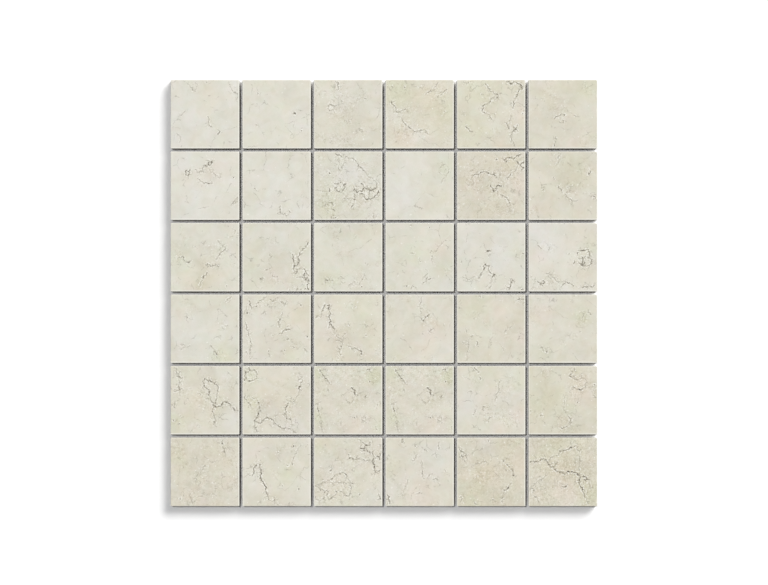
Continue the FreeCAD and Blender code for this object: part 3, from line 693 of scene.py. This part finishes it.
def leaned(colour, amount, low_filter, high_filter):
    """The colour through a filter between two: the first at an amount of -1, the second at 1."""
    share = scaled(amount, 0.5, 0.5, clamp=True)
    return mix_colour(1.0, colour, mix_colour(share, low_filter, high_filter), "MULTIPLY")


def stone_colour(tree, place, mottle, grain, rough):
    """The stone between the veins: clouds, a drift of tone and a mottle, with grain where it is rough, and
    leanings of its own and of its patches to cool or warm, and to green or pink."""
    clouds = noise_at(place, "clouds")
    drift = noise_at(place, "drift")
    fine = weighted_sum([(mottle, 2.4), (grain, 2.6)])
    tone = weighted_sum([(clouds, 1.2), (drift, 1.2), (mottle, 0.7)], product(fine, rough))
    tone = scaled(attribute(tree, "lightness"), 0.5, tone)
    level = scaled(tone, 0.5, 0.5, clamp=True)
    ramp = add_node("ShaderNodeValToRGB", {"Fac": level})
    elements = ramp.color_ramp.elements
    elements[0].color = STONE_DEEP
    elements[1].color = STONE_PALE
    for position, colour in STONE_TONES:
        elements.new(position).color = colour
    warm = weighted_sum([(noise_at(place, "warmth"), 2.4)], attribute(tree, "warmth"))
    pink = weighted_sum([(noise_at(place, "blush"), 2.8)], attribute(tree, "blush"))
    colour = leaned(ramp.outputs["Color"], warm, COOL_FILTER, WARM_FILTER)
    return leaned(colour, pink, GREEN_FILTER, PINK_FILTER)


def with_hairlines(colour, place, wide):
    """Adds long faint hairlines across the stone, in some places."""
    hairline = share_of(cell_edges(wide, HAIRLINE_CELLS), "hairline")
    return mix_colour(product(hairline, share_of_noise(place, "hairline_places")), colour, VEIN_BROWN)


def with_cracks(colour, place, tight, beside_vein, rough):
    """Adds short broken cracks, thickest beside the veins."""
    crack = share_of(cell_edges(tight, CRACK_CELLS), "crack")
    ink = scaled(beside_vein, 0.8, product(rough, 0.4))
    crack = product(crack, share_of_noise(place, "crack_places"), ink)
    return mix_colour(calculate("MULTIPLY", crack, CRACK_INK, clamp=True), colour, VEIN_BROWN)


def with_dots(colour, tight, wide, rough):
    """Adds pale and dark dots, more of them where the stone is rough."""
    pale_dot = cell_dots(tight, *PALE_DOTS, scaled(rough, 0.55, 0.05))
    colour = mix_colour(product(pale_dot, PALE_DOT_STRENGTH), colour, FLECK_AND_HIGHLIGHT_CREAM)
    dark_dot = cell_dots(wide, *DARK_DOTS, scaled(rough, 0.3, 0.03))
    return mix_colour(product(dark_dot, DARK_DOT_INK), colour, VEIN_BROWN)


def with_veins(colour, place, vein_gap, vein_ink):
    """Adds the veins: ragged broken lines in a soft shade, with pale flecks along them. The darker ones are
    wider, cleaner and less broken. Returns the colour and the veins' ink."""
    raggedness = scaled(vein_ink, -0.7, 1.25)
    gap = weighted_sum([(noise_at(place, "vein_edge"), raggedness)], vein_gap)
    shade = product(share_of(gap, "vein_shade"), vein_ink)
    colour = mix_colour(shade, colour, STONE_DEEP)

    beside = product(share_of(gap, "fleck_reach"), share_of(vein_gap, "fleck_clear"))
    strength = calculate("MULTIPLY", vein_ink, 1.6, clamp=True)
    fleck = product(beside, share_of_noise(place, "fleck_places"), strength)
    colour = mix_colour(fleck, colour, FLECK_AND_HIGHLIGHT_CREAM)

    width = product(share_of_noise(place, "vein_width"), scaled(vein_ink, 0.8, 0.45))
    line = spread(gap, width, 0.0)
    beads = spread(noise_at(place, "vein_beads"), *BEAD_SPAN, scaled(vein_ink, 0.45, 0.15), BEAD_DARKEST)
    ink = calculate("MULTIPLY", product(line, beads), vein_ink, clamp=True)
    return mix_colour(ink, colour, VEIN_BROWN), ink


def stone_print_material():
    """The matt printed glaze of a tile's face: soft clouds of cream, pink beige and green grey, hairlines,
    cracks, dots, the veins that the mesh carries, and a pale rim along the joints that is partly a painted
    highlight."""
    material, tree, shader = new_material("stone_print_glaze")
    place = attribute(tree, "print_at", "Vector")
    vein_gap = attribute(tree, "vein_gap")
    vein_ink = attribute(tree, "vein_ink")
    mottle = noise_at(place, "mottle")
    grain = noise_at(place, "grain")
    wide = place
    for warp in WIDE_WARPS:
        wide = warped(wide, *warp)
    tight = warped(place, *TIGHT_WARP)

    beside_vein = product(share_of(vein_gap, "beside_vein"), vein_ink)
    busy = calculate("ADD", share_of_noise(place, "busy_places"), attribute(tree, "crackle"))
    rough = calculate("ADD", busy, beside_vein, clamp=True)
    colour = stone_colour(tree, place, mottle, grain, rough)
    colour = with_hairlines(colour, place, wide)
    colour = with_cracks(colour, place, tight, beside_vein, rough)
    colour = with_dots(colour, tight, wide, rough)
    colour, ink = with_veins(colour, place, vein_gap, vein_ink)

    # The glaze pales along the tile's joints where it thins, and a painted highlight brightens the arris
    # there, most along the lower joint
    rim = share_of(weighted_sum([(grain, 0.8)], attribute(tree, "edge_gap")), "rim")
    colour = mix_colour(rim, colour, FLECK_AND_HIGHLIGHT_CREAM)

    relief = scaled(ink, -0.6, scaled(grain, 0.3, mottle))
    finish_shader(tree, shader, colour, share_of(mottle, "glaze_roughness"), relief, GLAZE_RELIEF, 0.6)
    return material


def porcelain_body_material():
    """The bare fired body on a tile's sides and back: ivory, with a fine grain and faint level streaks."""
    material, tree, shader = new_material("porcelain_body")
    place = add_node("ShaderNodeTexCoord", tree=tree).outputs["Object"]
    stretched = add_node("ShaderNodeMapping", {"Vector": place, "Scale": (1.0, 1.0, 6.0)}).outputs[0]
    streaks = noise_at(stretched, "body_streaks")
    grain = noise_at(place, "body_grain")
    colour = mix_colour(share_of(streaks, "body_streaks"), BODY_IVORY, BODY_GREY)
    colour = mix_colour(share_of(grain, "body_grain"), colour, STONE_DEEP)
    relief = scaled(streaks, 0.5, grain)
    finish_shader(tree, shader, colour, share_of(grain, "body_roughness"), relief, BODY_RELIEF, 0.7)
    return material


def yarn_material():
    """Coated glass yarn: white, with fine filaments that shine a little."""
    material, tree, shader = new_material("coated_glass_yarn")
    place = add_node("ShaderNodeTexCoord", tree=tree).outputs["Object"]
    filaments = noise_at(place, "filaments")
    colour = mix_colour(share_of(filaments, "filaments"), YARN_GREY, YARN_WHITE)
    colour = mix_colour(share_of_noise(place, "yarn_patches"), colour, YARN_GREY)
    roughness = share_of(filaments, "yarn_roughness")
    finish_shader(tree, shader, colour, roughness, filaments, YARN_RELIEF, 0.8)
    return material


# Veins

def smooth_run(points):
    """A curve through the chosen points, divided into short steps."""
    line = []
    for index in range(len(points) - 1):
        start, end = points[index], points[index + 1]
        before = points[max(index - 1, 0)]
        after = points[min(index + 2, len(points) - 1)]
        from_start = [(e - b) / 2 for e, b in zip(end, before)]
        from_end = [(a - s) / 2 for a, s in zip(after, start)]
        steps = max(1, round(math.dist(start, end) / VEIN_STEP))
        for step in range(steps):
            share = step / steps
            line.append(tuple(
                s * (1 + share * share * (2 * share - 3)) + e * share * share * (3 - 2 * share)
                + first * share * (1 - share) ** 2 + last * share * share * (share - 1)
                for s, e, first, last in zip(start, end, from_start, from_end)))
    line.append(points[-1])
    return line


def shake(x, y, shake_at):
    """How far a vein's point is moved along one axis. The noise is of the kind that is the same in each run,
    which mathutils' noise_vector isn't."""
    return sum(reach * noise.noise(Vector((x * waves, y * waves, shake_at))) for waves, reach in SHAKES)


def wander(points, shake_at):
    """A vein's centreline: a curve through the chosen points, shaken by noise."""
    return np.array([(x + shake(x, y, shake_at), y + shake(x, y, shake_at + SHAKE_APART))
                     for x, y in smooth_run(points)])


def twig(line, at, draw):
    """A short side branch that leaves a vein at one of its points."""
    ahead = line[min(at + 2, len(line) - 1)] - line[max(at - 2, 0)]
    heading = math.atan2(ahead[1], ahead[0]) + draw.choice((-1, 1)) * draw.uniform(*TWIG_LEAVES_AT)
    place = line[at]
    points = [place]
    for step in range(draw.randint(*TWIG_STEPS)):
        heading += draw.uniform(-TWIG_BEND, TWIG_BEND)
        place = place + VEIN_STEP * np.array([math.cos(heading), math.sin(heading)])
        points.append(place)
    return np.array(points)


def speck(x, y, darkness):
    """A dark speck: a tiny triangle round its place, and its ink."""
    turns = [step / 3 * 2 * math.pi for step in range(4)]
    line = [(x + SPECK_RADIUS * math.cos(turn), y + SPECK_RADIUS * math.sin(turn)) for turn in turns]
    return np.array(line), np.full(len(line), darkness / SPECK_DARKEST)


def vein_inks(line, darkness, beads_at):
    """The ink along a vein: it fades towards the ends and is beaded, most in a faint vein."""
    numbers = np.arange(len(line))
    from_end = np.minimum(numbers, numbers[::-1]) * VEIN_STEP
    fade = np.clip(END_INK + END_FADE_PER_MM * from_end, 0, 1)
    unsteady = BEAD_UNSTEADY - darkness / 10
    beads = [BEAD_LEVEL + unsteady * noise.noise(Vector((x * BEADS_PER_MM, y * BEADS_PER_MM, beads_at)))
             for x, y in line]
    return INK_STRENGTH * darkness / DARKEST * fade * np.clip(beads, *BEAD_RANGE)


def vein_lines(tile, side):
    """The tile's veins as pairs of a centreline and its ink, with short twigs on the longer veins."""
    draw = random.Random(tile)
    shake_at = draw.uniform(0, SHAKE_RANGE)
    lines = []
    for darkness, *numbers in VEINS.get(tile, []):
        places = [(x - side / 2, side / 2 - y) for x, y in zip(numbers[::2], numbers[1::2])]
        if len(places) == 1:
            lines.append(speck(*places[0], darkness))
            continue
        line = wander(places, shake_at)
        ink = vein_inks(line, darkness, shake_at + BEADS_APART)
        lines.append((line, ink))
        for at in range(1, len(line) - 1):
            if len(line) > TWIG_MIN_POINTS and draw.random() < TWIG_CHANCE:
                side_branch = twig(line, at, draw)
                lines.append((side_branch, ink[at] * np.linspace(*TWIG_INK, len(side_branch))))
    return lines


def nearest_vein(spots, lines):
    """For each spot, the distance to the nearest vein, and that vein's ink."""
    start = np.concatenate([line[:-1] for line, ink in lines])
    along = np.concatenate([line[1:] - line[:-1] for line, ink in lines])
    ink_start = np.concatenate([ink[:-1] for line, ink in lines])
    offset = spots[:, None, :] - start
    share = np.clip((offset * along).sum(2) / np.maximum((along ** 2).sum(1), TINY), 0, 1)
    gap = np.linalg.norm(offset - share[..., None] * along, axis=2)
    best = gap.argmin(1)
    return np.minimum(gap[np.arange(len(spots)), best], VEIN_FAR), ink_start[best]


# A tile's mesh

def on_outline(low, high):
    """Whether the tile's right, upper, left and lower side are on the sheet's outline."""
    nearly = 0.5 * MM
    return (high.x > CAD_HIGH.x - nearly, high.y > CAD_HIGH.y - nearly,
            low.x < CAD_LOW.x + nearly, low.y < CAD_LOW.y + nearly)


def closed_line(first, count):
    """The edges that join so many points, numbered from the first one, in a ring."""
    return [(first + index, first + (index + 1) % count) for index in range(count)]


def rounded_square(half, inset, arris_shares):
    """The points of a square with rounded corners, a given distance inside the tile's side. Each side takes
    its own share of the distance, and each point comes with its share."""
    straight = half - CORNER_RADIUS
    count = round(2 * straight / EDGE_STEP)
    points = []
    for corner in range(4):
        turn = corner * math.pi / 2
        here, following = arris_shares[corner], arris_shares[(corner + 1) % 4]
        centre_x = math.copysign(straight, math.cos(turn + math.pi / 4))
        centre_y = math.copysign(straight, math.sin(turn + math.pi / 4))
        for step in range(CORNER_STEPS + 1):
            angle = turn + step / CORNER_STEPS * math.pi / 2
            share = here + (following - here) * step / CORNER_STEPS
            radius = CORNER_RADIUS - inset * share
            points.append((centre_x + radius * math.cos(angle), centre_y + radius * math.sin(angle), share))
        start_x, start_y, share = points[-1]
        for step in range(1, count):
            move = 2 * straight * step / count
            points.append((start_x - move * math.cos(turn), start_y - move * math.sin(turn), share))
    return points


def ring(half, top, inset, drop, arris_shares, chip_seed):
    """A rounded square at its level below the tile's top, with slight chips taken off it here and there."""
    points = []
    for x, y, share in rounded_square(half, inset, arris_shares):
        chips = noise.noise(Vector((x * CHIPS_PER_MM, y * CHIPS_PER_MM, chip_seed)))
        shrink = 1 - max(0.0, chips) * CHIP_DEPTH / half
        points.append((x * shrink, y * shrink, top - drop * share))
    return points


def beside_veins(lines):
    """Points beside the veins, on both sides."""
    spots = []
    for line, ink in lines:
        run = np.gradient(line, axis=0)
        across = np.stack([-run[:, 1], run[:, 0]], axis=1)
        across /= np.maximum(np.linalg.norm(across, axis=1, keepdims=True), TINY)
        for reach in VEIN_REACHES:
            spots += [line + across * reach, line - across * reach]
    return np.concatenate(spots)


def face_points(boundary, lines, half):
    """The flat face's points and the lines that its triangles must follow: the boundary, the veins, points
    beside the veins, and a loose grid."""
    limit = half - ARRIS - EDGE_CLEAR
    points = [(x, y) for x, y, level in boundary]
    edges = closed_line(0, len(points))
    for line, ink in lines:
        previous = None
        for x, y in line:
            inside = max(abs(x), abs(y)) < limit
            if inside:
                points.append((x, y))
                if previous is not None:
                    edges.append((previous, len(points) - 1))
            previous = len(points) - 1 if inside else None
    steps = int(limit / PRINT_GRID)
    grid_line = np.arange(-steps, steps + 1) * PRINT_GRID
    grid = np.array([(x, y) for x in grid_line for y in grid_line])
    for spots, clear in ((beside_veins(lines), VEIN_CLEAR), (grid, GRID_CLEAR)):
        gap, ink = nearest_vein(spots, lines)
        keep = (gap > clear) & (np.abs(spots).max(axis=1) < limit)
        points += [tuple(spot) for spot in spots[keep]]
    return points, edges


def triangulate(mesh, points, edges, boundary_verts, level):
    """Triangles over the points, inside the boundary, whose points come first and have their verts already.
    Returns each triangle as its verts, and the vert that stands for each point."""
    inside_the_edges = 1
    made = delaunay_2d_cdt([Vector(point) for point in points], edges, [], inside_the_edges, MERGE_WITHIN)
    places, triangles, sources = made[0], made[2], made[3]
    verts = []
    for place, source in zip(places, sources):
        on_boundary = [number for number in source if number < len(boundary_verts)]
        if on_boundary:
            verts.append(boundary_verts[on_boundary[0]])
        else:
            verts.append(mesh.verts.new((place.x, place.y, level)))
    vert_of = {number: vert for vert, source in zip(verts, sources) for number in source}
    return [[verts[number] for number in triangle] for triangle in triangles], vert_of


def recess_middles(half):
    """The middles of the recesses in the back."""
    pitch = KEY_SIDE + KEY_LAND
    count = int((2 * half - KEY_LAND) / pitch)
    places = [(index - (count - 1) / 2) * pitch for index in range(count)]
    return [(x, y) for x in places for y in places]


def square(x, y, half_side):
    """The corners of a square about its middle."""
    return [(x - half_side, y - half_side), (x + half_side, y - half_side),
            (x + half_side, y + half_side), (x - half_side, y + half_side)]


def add_back_of_tile(mesh, boundary, boundary_verts, half, level):
    """The back: flat ribs round square recesses, whose walls lean inwards."""
    middles = recess_middles(half)
    points = [(x, y) for x, y, z in boundary]
    edges = closed_line(0, len(points))
    for x, y in middles:
        edges += closed_line(len(points), 4)
        points += square(x, y, KEY_SIDE / 2)
    triangles, vert_of = triangulate(mesh, points, edges, boundary_verts, level)
    for triangle in triangles:
        middle = sum((vert.co for vert in triangle), Vector()) / 3
        in_recess = any(max(abs(middle.x - x), abs(middle.y - y)) < KEY_SIDE / 2 for x, y in middles)
        if not in_recess:
            mesh.faces.new(triangle[::-1])
    lean = KEY_DEPTH * math.tan(KEY_LEAN)
    for number, (x, y) in enumerate(middles):
        rim = [vert_of[len(boundary) + number * 4 + corner] for corner in range(4)]
        deep = [mesh.verts.new((*point, level + KEY_DEPTH)) for point in square(x, y, KEY_SIDE / 2 - lean)]
        for here, there in closed_line(0, 4):
            mesh.faces.new([rim[here], rim[there], deep[there], deep[here]])
        mesh.faces.new(deep)


def build_tile_mesh(low, high, lines, seed):
    """A closed tile about its own middle, with its levels as in the frame: printed face, rounded arris,
    straight sides, and a back with recesses."""
    half = (high.x - low.x) / 2 / MM
    top = high.z / MM
    bottom = low.z / MM
    arris_shares = [OUTLINE_ARRIS_SHARE if outer else 1.0 for outer in on_outline(low, high)]
    mesh = bmesh.new()

    rings = []
    for step in range(ARRIS_STEPS + 1):
        angle = step / ARRIS_STEPS * math.pi / 2
        inset = ARRIS * (1 - math.sin(angle))
        drop = ARRIS * (1 - math.cos(angle))
        rings.append(ring(half, top, inset, drop, arris_shares, seed))
    rings.append(ring(half, top, 0.0, top - bottom, (1.0, 1.0, 1.0, 1.0), seed))
    ring_verts = [[mesh.verts.new(point) for point in points] for points in rings]
    points, edges = face_points(rings[0], lines, half)
    for triangle in triangulate(mesh, points, edges, ring_verts[0], top)[0]:
        mesh.faces.new(triangle)
    for number, (upper, lower) in enumerate(zip(ring_verts, ring_verts[1:])):
        on_arris = number < ARRIS_STEPS
        for here, there in closed_line(0, len(upper)):
            face = mesh.faces.new([upper[here], lower[here], lower[there], upper[there]])
            face.smooth = on_arris
            face.material_index = 0 if on_arris else 1
    face_count = len(mesh.faces)
    add_back_of_tile(mesh, rings[-1], ring_verts[-1], half, bottom)
    mesh.faces.ensure_lookup_table()
    for face in mesh.faces[face_count:]:
        face.material_index = 1
    bmesh.ops.recalc_face_normals(mesh, faces=mesh.faces[:])
    return mesh


# The tiles

def patch_values(tile, spots):
    """The warmth, blush, lightness and crackle that the tile's shade and its soft patches give each spot."""
    shade = next((values for values, tiles in SHADES if tile in tiles), (0.0, 0.0, 0.0, 0.0))
    values = np.tile(shade, (len(spots), 1))
    for tint, x, y, radius, strength in PATCHES.get(tile, []):
        weight = np.exp(-((spots[:, 0] - x) ** 2 + (spots[:, 1] - y) ** 2) / radius ** 2)
        values += strength * weight[:, None] * tint
    return dict(zip(("warmth", "blush", "lightness", "crackle"), values.T))


def gap_to_rims(spots, half, low, high):
    """Each spot's distance from the nearest of the tile's sides, with what the pale rim, which is partly a
    painted highlight, is narrower by there.
    """
    narrower = [RIM_ABSENT if outer else amount
                for amount, outer in zip(RIM_HIGHLIGHT_NARROWER, on_outline(low, high))]
    reaches = (spots[:, 0], spots[:, 1], -spots[:, 0], -spots[:, 1])
    return np.min([half - reach + amount for reach, amount in zip(reaches, narrower)], axis=0)


def make_tile(tile, number, materials):
    """One dressed tile, with the print's values on its mesh for the glaze to read."""
    low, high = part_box(tile)
    side = (high.x - low.x) / MM
    print_tile, print_moved = PRINTS.get(tile, (tile, 0.0))
    lines = [(line + (print_moved, 0), ink) for line, ink in vein_lines(print_tile, side)]
    mesh = build_tile_mesh(low, high, lines, number * CHIP_SEED_STEP)
    data = bpy.data.meshes.new(tile + "_mesh")
    mesh.to_mesh(data)
    mesh.free()

    spots = np.array([vert.co for vert in data.vertices])
    gap, ink = nearest_vein(spots[:, :2], lines)
    from_corner = np.stack([spots[:, 0] + side / 2, side / 2 - spots[:, 1]], axis=1)
    values = {"vein_gap": gap, "vein_ink": ink, "edge_gap": gap_to_rims(spots, side / 2, low, high),
              **patch_values(print_tile, from_corner - (print_moved, 0))}
    for name, numbers in values.items():
        data.attributes.new(name, "FLOAT", "POINT").data.foreach_set("value", numbers)
    draw = random.Random(print_tile)
    shift = np.array([draw.uniform(-PRINT_RANGE, PRINT_RANGE) for axis in range(3)]) - (print_moved, 0, 0)
    print_at = data.attributes.new("print_at", "FLOAT_VECTOR", "POINT")
    print_at.data.foreach_set("vector", (spots + shift).ravel())

    middle = np.array([(low.x + high.x) / 2, (low.y + high.y) / 2, 0.0])
    data.vertices.foreach_set("co", (spots * MM + middle).ravel())
    data.update()
    piece = add_object(tile + "_dressed", data, materials)
    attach(piece, "root")
    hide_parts(tile)


# The net

def tube_mesh(name, paths, half_width, half_height, sides):
    """Straight-ended tubes of a flattened round section along the paths, as one mesh. A path is an array of
    points in millimetres; the section's width lies level and square to the run from end to end."""
    verts = []
    faces = []
    for path in paths:
        run = path[-1] - path[0]
        run = run / np.linalg.norm(run)
        across = np.array([-run[1], run[0], 0.0])
        first = len(verts)
        for place in path:
            for corner in range(sides):
                angle = (corner + 0.5) / sides * 2 * math.pi
                offset = across * half_width * math.cos(angle)
                offset[2] = half_height * math.sin(angle)
                verts.append((place + offset) * MM)
        for step in range(len(path) - 1):
            for here, there in closed_line(first + step * sides, sides):
                faces.append((here, there, there + sides, here + sides))
        last = len(verts) - sides
        faces.append(tuple(reversed(range(first, first + sides))))
        faces.append(tuple(range(last, last + sides)))
    data = bpy.data.meshes.new(name + "_mesh")
    data.from_pydata([tuple(vert) for vert in verts], [], faces)
    data.polygons.foreach_set("use_smooth", [True] * len(faces))
    data.update()
    return data


def yarn_places(low, high, axis):
    """The middles of the yarns that lie side by side along an axis."""
    reach = (high[axis] - low[axis]) / MM - YARN_WIDTH
    count = round(reach / YARN_PITCH) + 1
    return [(index - (count - 1) / 2) * YARN_PITCH for index in range(count)]


def make_net(material):
    """A leno weave: each warp yarn is two strands that twist round each other and grip the flat weft yarn
    between them at each crossing."""
    warp_low, warp_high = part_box("net_warp")
    weft_low, weft_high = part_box("net_weft")
    warp_places = yarn_places(warp_low, warp_high, 0)
    weft_places = yarn_places(weft_low, weft_high, 1)
    middle_level = NET_THICK / 2

    length = (warp_high.y - warp_low.y) / MM
    steps = round(length / YARN_PITCH * WARP_STEPS_PER_PITCH)
    run = np.linspace(-length / 2, length / 2, steps + 1)
    turn = (run - weft_places[0]) / YARN_PITCH * math.pi
    sway = WARP_SWAY * np.sin(turn)
    lift = (middle_level - WARP_HALF_HEIGHT - WARP_INSIDE) * np.cos(turn)
    warp_paths = [np.stack([x + way * sway, run, middle_level + way * lift], 1)
                  for x in warp_places for way in (1, -1)]
    warp = tube_mesh("warp_strands", warp_paths, WARP_HALF_WIDTH, WARP_HALF_HEIGHT, WARP_SIDES)

    length = (weft_high.x - weft_low.x) / MM
    run = np.linspace(-length / 2, length / 2, WEFT_STEPS + 1)
    weft_paths = []
    for y in weft_places:
        sway = WEFT_SWAY * np.sin(run * WEFT_TURN_PER_MM + y * WEFT_SHIFT_PER_MM)
        weft_paths.append(np.stack([run, y + sway, np.full(len(run), middle_level)], 1))
    weft = tube_mesh("weft_strands", weft_paths, YARN_WIDTH / 2, WEFT_HALF_HEIGHT, WEFT_SIDES)

    for node, data in (("net_warp", warp), ("net_weft", weft)):
        piece = add_object(node + "_dressed", data, [material])
        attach(piece, "root")
        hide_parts(node)


# The studio

def make_floor():
    """A sheet of white paper under the part, wide enough to have no edge in the picture."""
    half = 15.0
    data = bpy.data.meshes.new("floor_mesh")
    data.from_pydata([(x, y, 0) for x, y in square(0, 0, half)], [], [(0, 1, 2, 3)])
    material, tree, shader = new_material("white_paper")
    place = add_node("ShaderNodeTexCoord", tree=tree).outputs["Object"]
    white = (*[FLOOR_ALBEDO] * 3, 1.0)
    off_white = (*[FLOOR_ALBEDO * 0.99] * 3, 1.0)
    colour = mix_colour(noise_at(place, "paper"), white, off_white)
    tree.links.new(colour, shader.inputs["Base Color"])
    shader.inputs["Roughness"].default_value = 0.9
    shader.inputs["Specular IOR Level"].default_value = 0.1
    floor = add_object("floor", data, [material])


def add_sun(name, towards, spread_angle, share, colour):
    """A lamp as broad as a soft box seen from afar. The share is what it adds to the floor's brightness."""
    data = bpy.data.lights.new(name, "SUN")
    data.angle = math.radians(spread_angle)
    towards = Vector(towards).normalized()
    data.energy = share / FLOOR_ALBEDO * math.pi / -towards.z
    data.color = colour
    lamp = add_object(name, data)
    lamp.rotation_mode = "QUATERNION"
    lamp.rotation_quaternion = towards.to_track_quat("-Z", "Y")


def make_lights():
    """An overhead lamp that leans a little from the upper left, a broad lamp from the upper right, and the
    white room."""
    tile_height = CAD_HIGH.z / MM
    add_sun("overhead_lamp", (1.2, -0.93, -tile_height), 3.0, OVERHEAD_SHARE, (1.0, 1.0, 1.0))
    add_sun("side_lamp", (-6.8, -8.2, -tile_height), 38.0, SIDE_SHARE, (1.0, 0.995, 0.98))
    world = bpy.data.worlds.new("white_room")
    world.use_nodes = True
    background = world.node_tree.nodes["Background"]
    background.inputs["Color"].default_value = (0.95, 0.97, 1.0, 1.0)
    background.inputs["Strength"].default_value = ROOM_SHARE / FLOOR_ALBEDO
    bpy.context.scene.world = world


def make_camera():
    """Straight above the sheet, far away, so that the joints show no slant, as in the photograph. The
    sheet's width and place in the picture are in pixels."""
    picture_width = 768
    sheet_width = 426.2
    sheet_left_of_middle = 0.2
    sheet_below_middle = 0.6
    pixel = (CAD_HIGH.x - CAD_LOW.x) / sheet_width
    data = bpy.data.cameras.new("camera")
    data.lens = 400
    data.sensor_width = 36
    data.clip_end = 50
    distance = pixel * picture_width * data.lens / data.sensor_width
    camera = add_object("camera", data)
    camera.location = (sheet_left_of_middle * pixel, sheet_below_middle * pixel, CAD_HIGH.z + distance)
    bpy.context.scene.camera = camera


tile_materials = (stone_print_material(), porcelain_body_material())
for number, tile in enumerate(TILES):
    make_tile(tile, number, tile_materials)
make_net(yarn_material())
make_floor()
make_lights()
make_camera()
bpy.context.scene.view_settings.view_transform = "Standard"
